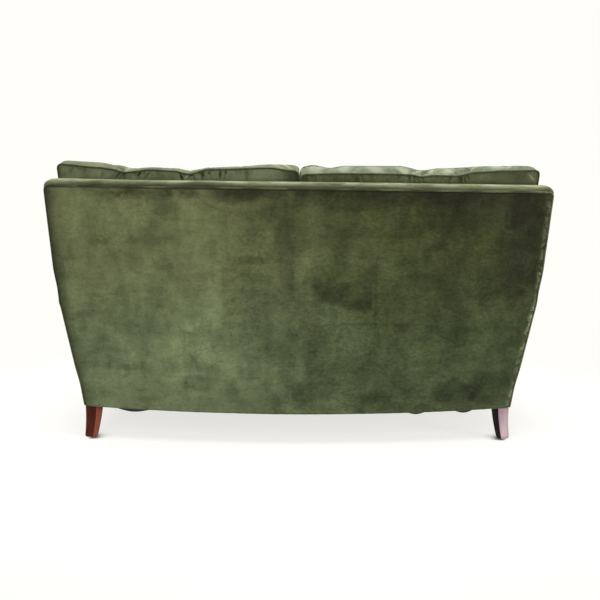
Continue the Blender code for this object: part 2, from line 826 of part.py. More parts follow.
OUTSIDE_ARM_TOP = ROLL_CENTRE_Z + ROLL_RADIUS * math.sin(ROLL_END_ANGLE) - GAP
ROLL_FOOT = WELT_HEIGHT + WELT_RADIUS + GAP
WELT_ROOM = 2 * WELT_RADIUS + SIDE_SLACK


def back_levels():
    """(inset, z) pairs up the front and the rear of the inside back, as many on each."""
    levels = [BACK_UPHOLSTERY_FOOT, PLATFORM_HEIGHT, OUTSIDE_ARM_TOP, ROLL_CENTRE_Z, ARM_HEIGHT]
    levels += spread(ARM_HEIGHT, TOP_RAIL_BOTTOM, 2)[1:]
    front = [(0.0, z) for z in levels]
    rear = [(-WELT_ROOM, z) for z in levels]
    rear += [(-WELT_ROOM, ROLL_FOOT), (0.0, ROLL_FOOT)]
    crown_foot = BACK_HEIGHT - TOP_ROLL_ROUND
    for k in range(4):
        angle = math.pi / 2 * k / 3
        front.append((TOP_ROLL_ROUND * (1 - math.cos(angle)), crown_foot + TOP_ROLL_ROUND * math.sin(angle)))
    for k in (1, 2):
        angle = math.pi / 2 * k / 2
        rise = (BACK_HEIGHT - ROLL_FOOT) * math.sin(angle)
        rear.append((-TOP_ROLL_ROUND * (1 - math.cos(angle)), ROLL_FOOT + rise))
    return front, rear


def back_column(x_share, face, levels):
    """One upright line of the inside back's front or rear face."""
    column = []
    for inset, z in levels:
        x = x_share * half_width(z)
        height = z
        if z > ROLL_FOOT:
            height -= top_corner_drop(x, z) * (z - ROLL_FOOT) / (BACK_HEIGHT - ROLL_FOOT)
        column.append(Vector((x, face(x, z) + inset, height)))
    return column


def back_shares():
    """Shares of the half width, close together where the top corners are rounded."""
    corner = TOP_CORNER_RADIUS / (SOFA_WIDTH / 2)
    inside = 1 - corner
    near = [1 - corner * share for share in TOP_CORNER_SHARES] + [1.0]
    middle = spread(-inside, inside, BACK_STEPS)
    return [-share for share in near[::-1]] + middle + near


def cavity(name, half_at, bottom, top):
    """The hollow behind the stuffing of the back, where the frame stands."""
    heights = back_heights(bottom, min(top, ROLL_FOOT - GAP), 2)
    levels = [(z, CUTTER_OVERRUN) for z in heights]
    if top > ROLL_FOOT:
        levels += [(ROLL_FOOT - GAP, -LIP_THICKNESS), (top, -LIP_THICKNESS)]
    lower, upper = [], []
    for share in spread(-1.0, 1.0, BACK_STEPS):
        points = [(share * half_at(z), z, overrun) for z, overrun in levels]
        lower.append([Vector((x, upholstery_rear_y(x, z), z)) for x, z, overrun in points])
        upper.append([Vector((x, outer_y(x, z) + overrun, z)) for x, z, overrun in points])
    return slab(name, lower, upper, BEECH)


def roll_arc(radius, first, last, steps):
    """Points (x, z) of the arm roll's outline at the back end."""
    return [
        (ROLL_CENTRE_X + radius * math.cos(angle), ROLL_CENTRE_Z + radius * math.sin(angle))
        for angle in spread(first, last, steps)
    ]


def arm_envelope(name, side):
    """All that lies outboard of the inside arm and under the roll, a little enlarged."""
    grown = PAD_CLEARANCE
    foot = BACK_UPHOLSTERY_FOOT - CUTTER_OVERRUN
    outline = [(arm_inner_x(foot) - grown, foot)]
    outline += roll_arc(ROLL_RADIUS + grown, math.pi, 0.0, ROLL_STEPS)
    outline += [(half_width(WELT_HEIGHT) + CUTTER_OVERRUN, ROLL_CENTRE_Z)]
    outline += [(half_width(WELT_HEIGHT) + CUTTER_OVERRUN, foot)]
    rings = []
    for at_back in (True, False):
        ring = []
        for x, z in outline:
            y = upholstery_rear_y(x, z) + ARM_END_CLEARANCE
            if not at_back:
                y -= BACK_DEPTH + CUTTER_OVERRUN
            ring.append(Vector((side * (x + splay(y)), y, z)))
        rings.append(ring)
    return loft(name, rings, BEECH)


def inside_back():
    """The stuffed inside back: it turns over the top rail and round the posts' outer sides."""
    front, rear = back_levels()
    lower = [back_column(share, outer_y, rear) for share in back_shares()]
    upper = [back_column(share, inner_y, front) for share in back_shares()]
    made = slab("inside_back", lower, upper, STUFFED_VELVET)

    def inside_the_sides(z):
        return half_width(z) - COVER_THICKNESS

    def past_the_sides(z):
        return half_width(z) + CUTTER_OVERRUN

    below = BACK_UPHOLSTERY_FOOT - CUTTER_OVERRUN
    side_foot = OUTSIDE_ARM_TOP + 3 * GAP
    cut(made, cavity("back_cavity", inside_the_sides, below, BACK_HEIGHT - TOP_RAIL_COVER))
    cut(made, cavity("arm_side_cavity", past_the_sides, below, side_foot))
    for word, side in SIDES.items():
        cut(made, arm_envelope("arm_envelope_" + word, side))
    return made


# Outside back and its welt

def outside_back_cover():
    """One velvet panel over card, slip-stitched at the sides and tacked under the rail."""
    edge = WELT_ROOM
    top = WELT_HEIGHT - WELT_RADIUS - GAP
    lower, upper = [], []
    for share in spread(-1.0, 1.0, BACK_STEPS):
        low_column, high_column = [], []
        for z in back_heights(COVER_BOTTOM, top, 3):
            x = share * (half_width(z) - edge)
            y = outer_y(x, z)
            low_column.append(Vector((x, y - COVER_THICKNESS, z)))
            high_column.append(Vector((x, y, z)))
        lower.append(low_column)
        upper.append(high_column)
    return slab("outside_back_cover", lower, upper, VELVET)


def back_welt():
    """Velvet cord from one foot of the back, up its side, across and down again."""
    def at(x, z):
        return Vector((x, outer_y(x, z) - WELT_RADIUS + WELT_PROUD, z))

    top = WELT_HEIGHT
    side_points = []
    for z in back_heights(COVER_BOTTOM + WELT_RADIUS, top - WELT_CORNER, 3):
        side_points.append((half_width(z) - WELT_RADIUS, z))
    corner = side_points[-1][0] - WELT_CORNER
    for k in (1, 2):
        angle = math.pi / 2 * k / 3
        side_points.append((corner + WELT_CORNER * math.cos(angle), top - WELT_CORNER * (1 - math.sin(angle))))
    points = [at(x, z) for x, z in side_points]
    points += [at(x, top) for x in spread(corner, -corner, BACK_STEPS)]
    points += [at(-x, z) for x, z in side_points[::-1]]
    return tube("back_welt", points, WELT_RADIUS, 1, VELVET)


# Arms

def arm_pad_outlines():
    """Points (x, z) over an inside arm and its roll, and as many inside it, round the rail."""
    foot = UPHOLSTERY_FOOT
    roll = roll_arc(ROLL_RADIUS, math.pi, ROLL_END_ANGLE, ROLL_STEPS)
    mouth = roll[-1][1]
    near = ARM_RAIL_X - PAD_CLEARANCE
    far = ARM_RAIL_X + ARM_RAIL_WIDTH + PAD_CLEARANCE
    over = ARM_RAIL_TOP + PAD_CLEARANCE
    climb, across = ROLL_STEPS // 3, ROLL_STEPS // 4
    descent = ROLL_STEPS - 1 - climb - across
    inside = [(arm_inner_x(foot) + ARM_WALL, foot), (arm_inner_x(mouth) + ARM_WALL, mouth)]
    inside += [(near, z) for z in spread(mouth, over, climb)]
    inside += [(x, over) for x in spread(near, far, across)[1:]]
    inside += [(far, z) for z in spread(over, mouth, descent)[1:]]
    return [(arm_inner_x(foot), foot)] + roll, inside


def inside_arm(name, side):
    """Stuffed inside arm and roll, from the back frame to the front of the arm."""
    over, inside = arm_pad_outlines()
    lower, upper = [], []
    for grid, outline in ((lower, inside), (upper, over)):
        for x, z in outline:
            rear = upholstery_rear_y(x, z)
            column = [Vector((side * (x + splay(y)), y, z)) for y in spread(rear, FRONT_FRAME_Y, 2)]
            grid.append(column)
    return slab(name, lower, upper, STUFFED_VELVET)


def outside_arm_cover(name, side):
    """The plain velvet panel from under the roll down to the side seat rail."""
    lower, upper = [], []
    for share in spread(0.0, 1.0, 4):
        low_column, high_column = [], []
        for z in spread(COVER_BOTTOM, OUTSIDE_ARM_TOP - GAP, 2):
            rear = outer_y(half_width(z), z) - WELT_ROOM
            y = rear + (FRONT_FRAME_Y - rear) * share
            x = half_width(z) + splay(y)
            low_column.append(Vector((side * (x - COVER_THICKNESS), y, z)))
            high_column.append(Vector((side * x, y, z)))
        lower.append(low_column)
        upper.append(high_column)
    return slab(name, lower, upper, VELVET)


def arm_facing(name, side):
    """The scroll-shaped front of an arm: velvet over a thin board, its edge softened."""
    outline = [(arm_inner_x(COVER_BOTTOM), COVER_BOTTOM), (arm_inner_x(PLATFORM_HEIGHT), PLATFORM_HEIGHT)]
    outline += roll_arc(ROLL_RADIUS, math.pi, ROLL_END_ANGLE, ROLL_STEPS)
    outline += [(half_width(z), z) for z in spread(OUTSIDE_ARM_TOP, COVER_BOTTOM, 2)]
    middle_x = sum(x for x, z in outline) / len(outline)
    middle_z = sum(z for x, z in outline) / len(outline)
    rings = []
    for depth, inset in ((0.0, 0.0), (FACING_THICKNESS - FACING_EDGE, 0.0), (FACING_THICKNESS, FACING_EDGE)):
        y = FRONT_FRAME_Y - GAP - depth
        ring = []
        for x, z in outline:
            towards = Vector((middle_x - x, middle_z - z))
            towards = towards.normalized() * inset
            ring.append(Vector((side * (x + towards.x + ARM_SPLAY), y, z + towards.y)))
        rings.append(ring)
    return loft(name, rings, VELVET)


def front_border():
    """The velvet band over the front rail, between the two arm facings."""
    top = PLATFORM_HEIGHT - PLATFORM_EDGE_ROUND
    lower, upper = [], []
    for share in spread(-1.0, 1.0, 4):
        low_column, high_column = [], []
        for z in spread(COVER_BOTTOM, top, 2):
            x = share * (arm_inner_x(z) + ARM_SPLAY - PAD_CLEARANCE)
            y = FRONT_FRAME_Y - GAP
            low_column.append(Vector((x, y - COVER_THICKNESS, z)))
            high_column.append(Vector((x, y, z)))
        lower.append(low_column)
        upper.append(high_column)
    return slab("front_border", lower, upper, VELVET)


def dust_cover():
    """Black cambric tacked under the frame, cut away at the legs, hanging a little slack."""
    top = COVER_BOTTOM - GAP
    shares = DUST_COVER_COLUMN_SHARES
    lower, upper = [], []
    for share in shares:
        low_column, high_column = [], []
        for k in range(6):
            half = half_width(COVER_BOTTOM) - DUST_COVER_INSET
            x_rear = share * half
            rear = outer_y(x_rear, COVER_BOTTOM) - CHORD_SAG - DUST_COVER_INSET
            front = FRONT_FRAME_Y
            ys = [front, front + DUST_COVER_NOTCH] + [front + (rear - front) * s for s in DUST_COVER_ROW_SHARES]
            y = (ys + [rear - DUST_COVER_NOTCH, rear])[k]
            x = share * (half + splay(y))
            slack = DUST_COVER_SAG if 0 < k < 5 and abs(share) < 1 else 0.0
            slack *= (1 - abs(share) ** 4)
            low_column.append(Vector((x, y, top - DUST_COVER_THICKNESS - slack)))
            high_column.append(Vector((x, y, top - slack)))
        lower.append(low_column)
        upper.append(high_column)

    def keep(i, j):
        return not (i in (0, len(shares) - 2) and j in (0, 4))

    return slab("dust_cover", lower, upper, BLACK_CAMBRIC, keep)


# Loose cushions

def bulge(share):
    """0 at both ends of a cushion and near 1 over most of its middle."""
    return 1 - (2 * share - 1) ** 4


def drawn_in(share):
    """0 at both ends of a side and 1 at its middle, where the side pulls in."""
    return 4 * share * (1 - share)


def corner_cut(u, v, width, length, radius):
    """How far in x and y a corner of a width by length outline moves to round it."""
    at_u, at_v = min(u, 1 - u) * width, min(v, 1 - v) * length
    if at_u >= radius or at_v >= radius:
        return 0.0, 0.0
    along_u, along_v = 1 - at_u / radius, 1 - at_v / radius
    reach = math.hypot(along_u, along_v)
    pull = max(0.0, reach - 1) / max(reach, 1)
    return pull * along_u * radius, pull * along_v * radius


def cushion_shares(length, radius):
    """Grid lines along one side of a cushion: its rounded ends and an even middle."""
    end = radius / length
    near = [0.0, end * CUSHION_EDGE_SHARE, end]
    return near + spread(end, 1 - end, 5)[1:-1] + [1 - share for share in near[::-1]]


def seat_length():
    """From the front of a seat cushion to its rear edge, in the middle of the sofa."""
    return inner_y(0.0, PLATFORM_HEIGHT) - CHORD_SAG - BACK_CUSHION_CLEARANCE - FRONT_Y


def seat_cushion(name, side):
    """Boxed feather cushion, crowned on top and flat where it lies on the platform."""
    inner = CUSHION_PARTING / 2
    width = arm_inner_x(PLATFORM_HEIGHT) - SEAT_SIDE_CLEARANCE - inner
    length = seat_length()
    lower, upper = [], []
    for u in cushion_shares(width, SEAT_CORNER_RADIUS):
        low_column, high_column = [], []
        for v in cushion_shares(length, SEAT_CORNER_RADIUS):
            x = inner + width * u
            y = FRONT_Y + (length - bow(x)) * v
            in_x, in_y = corner_cut(u, v, width, length, SEAT_CORNER_RADIUS)
            x += in_x if 2 * u < 1 else -in_x
            y += in_y if 2 * v < 1 else -in_y
            x += u * splay(y)
            x += SEAT_DRAW_IN * drawn_in(v) * ((1 - u) ** 8 - u ** 8)
            y += SEAT_DRAW_IN * drawn_in(u) * (1 - v) ** 8
            low_column.append(Vector((side * x, y, PLATFORM_HEIGHT + GAP)))
            high_column.append(Vector((side * x, y, SEAT_TOP + SEAT_CROWN * bulge(u) * bulge(v))))
        lower.append(low_column)
        upper.append(high_column)
    anchor = (side * (inner + width / 2), 0.0, PLATFORM_HEIGHT)
    return slab(name, lower, upper, VELVET, origin=anchor)


def seat_rise(depth):
    """How far the seat cushion's top has risen at that distance in front of its rear edge."""
    lines = cushion_shares(seat_length(), SEAT_CORNER_RADIUS)
    at = 1 - depth / seat_length()
    for near, far in zip(lines, lines[1:]):
        if near <= at <= far:
            share = (at - near) / (far - near)
            return SEAT_CROWN * (bulge(near) * (1 - share) + bulge(far) * share)
    return 0.0


def back_cushion_seat():
    """Heights of a back cushion's rear and front bottom edges, as it stands on the seat."""
    behind = (SEAT_TOP - PLATFORM_HEIGHT) * math.tan(INNER_RAKE)
    front = BACK_CUSHION_THICKNESS - behind
    near, far = seat_rise(SEAT_CORNER_RADIUS), seat_rise(front)
    slope = (far - near) / (front - SEAT_CORNER_RADIUS)
    foot = SEAT_TOP + 2 * GAP
    return foot + near - slope * (SEAT_CORNER_RADIUS + behind), foot + far


def fullness(x, z, outer, low):
    """How far the front of a back cushion has swelled: 0 on its seams, near 1 in its middle."""
    half_tall = (BACK_CUSHION_TOP - SEAT_TOP) / 2
    across = min(x - CUSHION_PARTING / 2, outer - x) / (outer / 2)
    up = min(z - low, BACK_CUSHION_TOP - z) / half_tall
    across, up = min(1.0, max(0.0, across)), min(1.0, max(0.0, up))
    return (1 - (1 - across) ** 3) * (1 - (1 - up) ** 3)


def back_cushion(name, side):
    """Boxed feather cushion that leans on the inside back and reaches over the arm roll."""
    inner, radius = CUSHION_PARTING / 2, BACK_CORNER_RADIUS
    step = radius * CUSHION_EDGE_SHARE
    body = arm_inner_x(min(SEAT_TOP, ROLL_CENTRE_Z)) - SEAT_SIDE_CLEARANCE
    foot, front_foot = back_cushion_seat()
    ear_foot = ARM_HEIGHT + EAR_CLEARANCE
    top = BACK_CUSHION_TOP
    body_xs = [inner, inner + step] + spread(inner + radius, body, 6)
    ear_steps = 4
    heights = spread(foot, ear_foot, 3) + spread(ear_foot, top - radius, 4)[1:] + [top - step, top]
    lower, upper = [], []
    for i in range(len(body_xs) + ear_steps):
        low_column, high_column = [], []
        for height in heights:
            edge = half_width(max(height, ear_foot)) - EAR_INSET
            ear_xs = [(body + edge - radius) / 2, edge - radius, edge - step, edge]
            x = (body_xs + ear_xs)[i]
            share = (height - foot) / (top - foot)
            into = max(inner + radius - x, x - edge + radius, 0.0) / radius
            at_top = max(0.0, height - top + radius) / radius
            drop = radius * (1 - math.sqrt(1 - min(1.0, into) ** 2))
            drop += BACK_CUSHION_DRAW_IN * drawn_in((x - inner) / (edge - inner))
            z = height - drop * at_top
            on_body = x <= body
            swell = fullness(x, z, edge if height >= ear_foot else body, foot if on_body else ear_foot)
            y = inner_y(x, z) - CHORD_SAG - BACK_CUSHION_CLEARANCE
            low_column.append(Vector((side * x, y, z)))
            y -= BACK_CUSHION_THICKNESS + BACK_CROWN * swell
            z += (front_foot - foot) * (1 - share) ** 8 + BACK_CUSHION_TOP_RISE * share ** 4
            high_column.append(Vector((side * x, y, z)))
        lower.append(low_column)
        upper.append(high_column)
    ear_column, ear_row = len(body_xs) - 1, heights.index(ear_foot)

    def keep(i, j):
        return i < ear_column or j >= ear_row

    anchor = (side * body / 2, inner_y(body / 2, foot), foot)
    return slab(name, lower, upper, VELVET, keep, origin=anchor)


def main():
    build_legs(build_frame())
    seat_webbing()
    build_springs()
    spring_hessian()
    seat_platform()
    back_webbing()
    inside_back()
    outside_back_cover()
    back_welt()
    front_border()
    dust_cover()
    for word, side in SIDES.items():
        inside_arm("inside_arm_" + word, side)
        outside_arm_cover("outside_arm_" + word, side)
        arm_facing("arm_facing_" + word, side)
        seat_cushion("seat_cushion_" + word, side)
        back_cushion("back_cushion_" + word, side)


main()
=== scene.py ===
"""Looks of a two-seat French-style sofa in green velvet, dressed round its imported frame.

The sections follow the sofa as it is put together: the beech frame with its springs and
webbing, the legs, the stuffed pads and covers from the inside out, the welts, and last
the loose cushions. Metres, +Z up. The sofa faces -Y, and +X is to the left of someone
who sits in it.
"""

import math

import bmesh
import bpy
from mathutils import Matrix, Vector, kdtree, noise


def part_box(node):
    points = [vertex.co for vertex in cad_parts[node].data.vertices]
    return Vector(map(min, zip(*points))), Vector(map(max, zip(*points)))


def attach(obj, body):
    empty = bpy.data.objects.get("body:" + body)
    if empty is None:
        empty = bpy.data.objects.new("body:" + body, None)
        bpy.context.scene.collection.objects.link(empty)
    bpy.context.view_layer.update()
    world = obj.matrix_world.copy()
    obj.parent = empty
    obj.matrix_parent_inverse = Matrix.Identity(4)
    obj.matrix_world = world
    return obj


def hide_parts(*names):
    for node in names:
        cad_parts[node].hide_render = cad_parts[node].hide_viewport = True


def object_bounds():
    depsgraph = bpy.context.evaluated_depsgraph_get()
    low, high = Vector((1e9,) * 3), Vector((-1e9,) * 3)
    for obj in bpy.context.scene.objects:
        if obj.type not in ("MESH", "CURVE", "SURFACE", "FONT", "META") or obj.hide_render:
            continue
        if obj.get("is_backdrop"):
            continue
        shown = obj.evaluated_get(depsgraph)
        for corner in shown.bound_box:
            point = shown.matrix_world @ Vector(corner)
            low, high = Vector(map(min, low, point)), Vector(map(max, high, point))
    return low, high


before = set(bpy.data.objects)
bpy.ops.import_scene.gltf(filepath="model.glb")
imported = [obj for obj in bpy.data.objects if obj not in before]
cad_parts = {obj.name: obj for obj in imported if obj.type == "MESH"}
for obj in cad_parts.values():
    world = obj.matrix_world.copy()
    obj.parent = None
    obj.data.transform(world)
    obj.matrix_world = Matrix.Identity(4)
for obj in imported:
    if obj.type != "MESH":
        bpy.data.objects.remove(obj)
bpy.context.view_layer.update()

# Beech frame
# Sawn posts, rails and glued corner blocks, joined with dowels. The covers hide all of
# it. The grain runs along each piece.

BEECH_DARK = (0.300, 0.180, 0.095, 1.0)
BEECH_LIGHT = (0.580, 0.400, 0.235, 1.0)
GRAIN_STRETCH = 0.06


def node(tree, kind, inputs=None, **settings):
    """Adds a shader node. inputs holds sockets to link or plain values, by name or place."""
    made = tree.nodes.new("ShaderNode" + kind)
    for key, value in settings.items():
        setattr(made, key, value)
    for key, value in (inputs or {}).items():
        if isinstance(value, bpy.types.NodeSocket):
            tree.links.new(value, made.inputs[key])
        else:
            made.inputs[key].default_value = value
    return made


def tree_of(*values):
    """The shader tree that the first socket among the values is in."""
    return next(value.id_data for value in values if isinstance(value, bpy.types.NodeSocket))


def join(socket, target):
    tree_of(target).links.new(socket, target)


def maths(operation, *values):
    return node(tree_of(*values), "Math", dict(enumerate(values)), operation=operation).outputs[0]


def times(first, *others):
    for other in others:
        first = maths("MULTIPLY", first, other)
    return first


def minus(first, second):
    return maths("SUBTRACT", first, second)


def vectors(operation, *values):
    """A sum on vectors. LENGTH and DOT_PRODUCT give a number."""
    made = node(tree_of(*values), "VectorMath", dict(enumerate(values)), operation=operation)
    return made.outputs["Value" if operation in ("LENGTH", "DOT_PRODUCT") else "Vector"]


def stretched(vector, scales):
    return vectors("MULTIPLY", vector, scales)


def mixed(share, first, second, blend="MIX"):
    """A colour between two others."""
    inputs = {0: share, 6: first, 7: second}
    tree = tree_of(share, first, second)
    return node(tree, "Mix", inputs, data_type="RGBA", blend_type=blend).outputs[2]


def stepped(value, low, high, bottom=0.0, top=1.0):
    """From bottom to top, in a soft S, as a value goes from low to high."""
    inputs = {0: value, 1: low, 2: high, 3: bottom, 4: top}
    return node(tree_of(value), "MapRange", inputs, interpolation_type="SMOOTHSTEP").outputs[0]


def clouds(vector, scale, detail=3.0, roughness=0.5, distortion=0.0):
    """Soft random variation, from about 0.3 to 0.7."""
    inputs = {"Vector": vector, "Scale": scale, "Detail": detail, "Roughness": roughness}
    return node(tree_of(vector), "TexNoise", {**inputs, "Distortion": distortion}).outputs[0]


def effect(name, outputs, **inputs):
    """An empty node group, with the kinds of its inputs and outputs by their names."""
    tree = bpy.data.node_groups.new(name, "ShaderNodeTree")
    for way, sockets in (("INPUT", inputs), ("OUTPUT", outputs)):
        for label, kind in sockets.items():
            tree.interface.new_socket(label, in_out=way, socket_type="NodeSocket" + kind)
    return tree, tree.nodes.new("NodeGroupInput").outputs, tree.nodes.new("NodeGroupOutput").inputs


def use(group, **inputs):
    """Places an effect in a material and returns its outputs."""
    return node(tree_of(*inputs.values()), "Group", inputs, node_tree=group).outputs


def new_finish(name, **values):
    """A material, its shader's inputs and its place on the sofa. values are constants."""
    made = bpy.data.materials.new(name)
    made.use_nodes = True
    shader = made.node_tree.nodes["Principled BSDF"]
    for label, value in values.items():
        shader.inputs[label.replace("_", " ")].default_value = value
    return made, shader.inputs, node(made.node_tree, "TexCoord").outputs["Object"]


def raise_surface(shader, height, distance, strength=1.0):
    """Bump of that real height, in metres, where height goes from 0 to 1."""
    inputs = {"Height": height, "Distance": distance, "Strength": strength}
    join(node(tree_of(height), "Bump", inputs).outputs[0], shader["Normal"])


wood_grain, given, result = effect(
    "wood_grain", {"Color": "Color", "Height": "Float"},
    Vector="Vector", Dark="Color", Light="Color", Rings="Float",
)
figure = clouds(given["Vector"], 6.0, 2.0, 0.5, 0.6)
rings = maths("MULTIPLY_ADD", maths("SINE", times(figure, given["Rings"])), 0.5, 0.5)
pores = stepped(clouds(given["Vector"], 240.0, 2.0), 0.55, 0.72)
join(mixed(minus(rings, times(pores, 0.6)), given["Dark"], given["Light"]), result["Color"])
join(minus(1.0, pores), result["Height"])


def wood(name, grain_axis, dark, light, rings, **values):
    """Wood whose grain runs along x, y or z, given as 0, 1 or 2."""
    made, shader, place = new_finish(name, **values)
    scales = [1.0, 1.0, 1.0]
    scales[grain_axis] = GRAIN_STRETCH
    grain = use(wood_grain, Vector=stretched(place, scales), Dark=dark, Light=light, Rings=rings)
    join(grain["Color"], shader["Base Color"])
    raise_surface(shader, grain["Height"], 0.0002)
    return made, shader, place


def wear(finish, *names):
    """Gives CAD nodes a finish."""
    for name in names:
        for material_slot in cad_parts[name].material_slots:
            material_slot.material = finish


BOTH = {"left": 1, "right": -1}
beech = [
    wood("beech_" + "xyz"[axis], axis, BEECH_DARK, BEECH_LIGHT, 70.0, Roughness=0.62)[0]
    for axis in range(3)
]
wear(beech[0], "rear_seat_rail", "back_top_rail", "front_seat_rail")
wear(beech[1], "centre_seat_rail")
wear(beech[2], "back_centre_post")
for word in BOTH:
    wear(beech[0], "back_lower_rail_" + word)
    wear(beech[1], "side_seat_rail_" + word, "arm_top_rail_" + word, "arm_lower_rail_" + word)
    wear(beech[2], "back_post_" + word, "arm_front_post_" + word)
    wear(beech[2], "corner_block_front_" + word, "corner_block_rear_" + word)

# Springs, webbing and hessian
# Eight hourglass springs of drawn wire stand on crossed jute webs, under a burlap sheet.
# A second set of webs crosses the back.

JUTE_DARK = (0.190, 0.120, 0.055, 1.0)
JUTE_LIGHT = (0.520, 0.390, 0.220, 1.0)
WIRE_DARK = (0.120, 0.105, 0.095, 1.0)
WIRE_LIGHT = (0.420, 0.400, 0.370, 1.0)


def plus(first, second):
    return maths("ADD", first, second)


def split(vector):
    """The x, y and z of a vector."""
    return node(tree_of(vector), "SeparateXYZ", {0: vector}).outputs


plain_weave, given, result = effect(
    "plain_weave", {"Thread": "Float", "Height": "Float"},
    Vector="Vector", Threads="Float", Slubs="Float",
)
wander = times(clouds(given["Vector"], 60.0, 2.0), given["Slubs"])
waves = [
    maths("SINE", times(plus(times(axis, given["Threads"]), wander), math.pi))
    for axis in split(given["Vector"])[:2]
]
checker = times(*waves)
join(stepped(checker, -0.8, 0.8), result["Thread"])
join(maths("ABSOLUTE", checker), result["Height"])


def woven(name, dark, light, threads, slubs, turned=False, **values):
    """Coarse cloth with that many threads a metre. turned is for cloth that stands upright."""
    made, shader, place = new_finish(name, **values)
    if turned:
        parts = split(place)
        place = node(made.node_tree, "CombineXYZ", {0: parts[0], 1: parts[2], 2: parts[1]}).outputs[0]
    weave = use(plain_weave, Vector=place, Threads=threads, Slubs=slubs)
    tone = times(weave["Thread"], stepped(clouds(place, 14.0, 4.0, 0.6), 0.25, 0.65, 0.55, 1.0))
    join(mixed(tone, dark, light), shader["Base Color"])
    raise_surface(shader, weave["Height"], 0.6 / threads)
    return made


jute = woven("jute", JUTE_DARK, JUTE_LIGHT, 500.0, 0.9, Roughness=0.9)
jute_upright = woven("jute_upright", JUTE_DARK, JUTE_LIGHT, 500.0, 0.9, True, Roughness=0.9)
wear(jute, "seat_webbing", "spring_hessian")
wear(jute_upright, "back_webbing")

wire, shader, place = new_finish("drawn_wire", Metallic=1.0)
worn = clouds(place, 90.0, 4.0)
join(mixed(worn, WIRE_DARK, WIRE_LIGHT), shader["Base Color"])
join(stepped(worn, 0.3, 0.7, 0.55, 0.3), shader["Roughness"])
wear(wire, *[f"seat_spring_{k}" for k in range(1, 9)])
wear(wire, *[f"leg_bolt_{place}_{word}" for place in ("front", "rear") for word in BOTH])

# Legs and glides
# Four short sabre legs in red-brown mahogany, turned towards the corners and swept
# outwards, with softened edges. A bolt holds each, and a metal glide is under its foot.

LEG_TOP_WIDTH = 0.0480
LEG_FOOT_WIDTH = 0.0335
LEG_ARRIS = 0.003
LEG_SWEEP = 0.024
LEG_TURN = math.radians(20.0)
LEG_STEPS = 28
LEG_TOP = 0.1317
LEG_FOOT = 0.0043
FOOT_ROUND = 0.009
FOOT_TUCK = 0.0045
WORN_EDGE = (0.300, 0.130, 0.080, 1.0)
NICKEL_DARK = (0.480, 0.450, 0.420, 1.0)
NICKEL_LIGHT = (0.760, 0.740, 0.710, 1.0)


def tinted(colour, tint):
    return mixed(1.0, colour, tint, "MULTIPLY")


def polished(name, dark, light, inner, outer, gloss):
    """Stained wood, rubbed pale along its edges, with painted light and shade on its inner and outer faces.
    Its inner faces have no coat.
    """
    made, shader, place = wood(name, 2, dark, light, 30.0, Coat_Roughness=0.34)
    shader["Specular IOR Level"].default_value = 0.08
    rubbed = clouds(place, 55.0, 4.0, 0.65)
    surface = node(made.node_tree, "NewGeometry").outputs
    edge = times(stepped(surface["Pointiness"], 0.53, 0.60), stepped(rubbed, 0.45, 0.6), 0.4)
    colour = mixed(edge, shader["Base Color"].links[0].from_socket, WORN_EDGE)
    # Painted light and shade: faces turned towards the sofa's middle take the tint inner, and faces turned
    # outwards take the tint outer
    outwards = times(split(surface["Normal"])[0], maths("SIGN", split(place)[0]))
    grained = stepped(clouds(stretched(place, (260.0, 260.0, 9.0)), 1.0), 0.3, 0.7, 0.75, 1.1)
    is_inner = stepped(outwards, -0.3, -0.6)
    for mask, tint in ((is_inner, inner), (stepped(outwards, 0.62, 0.8), outer)):
        colour = mixed(mask, colour, tinted(grained, tint))
    join(colour, shader["Base Color"])
    join(times(minus(1.0, is_inner), gloss), shader["Coat Weight"])
    join(stepped(rubbed, 0.3, 0.7, 0.45, 0.60), shader["Roughness"])
    return made


# The legs are rubbed nearly matt, with painted light on their inner faces and painted shade on
# their outer ones. The right rear one is still glossy, painted pale pink as a painted highlight,
# with painted shade on its inner faces and painted light on its outer ones
MAHOGANY = {
    "left": polished(
        "mahogany_rubbed", (0.048, 0.009, 0.004, 1.0), (0.095, 0.020, 0.010, 1.0),
        (0.330, 0.092, 0.050, 1.0), (0.006, 0.002, 0.001, 1.0), 0.06,
    ),
    "right": polished(
        "mahogany_painted_highlight", (0.290, 0.185, 0.215, 1.0), (0.400, 0.270, 0.300, 1.0),
        (0.008, 0.004, 0.004, 1.0), (0.360, 0.150, 0.150, 1.0), 0.45,
    ),
}


def placed(name, data):
    """A new object in the scene."""
    made = bpy.data.objects.new(name, data)
    bpy.context.scene.collection.objects.link(made)
    return made


def as_mesh(bm, name):
    """The edited shape as a mesh, with its faces outwards."""
    bmesh.ops.recalc_face_normals(bm, faces=bm.faces[:])
    mesh = bpy.data.meshes.new(name)
    bm.to_mesh(mesh)
    bm.free()
    return mesh


def join_rings(bm, near, far):
    """Faces between two rings of as many points."""
    for k in range(len(near)):
        after = (k + 1) % len(near)
        bm.faces.new((near[k], near[after], far[after], far[k]))


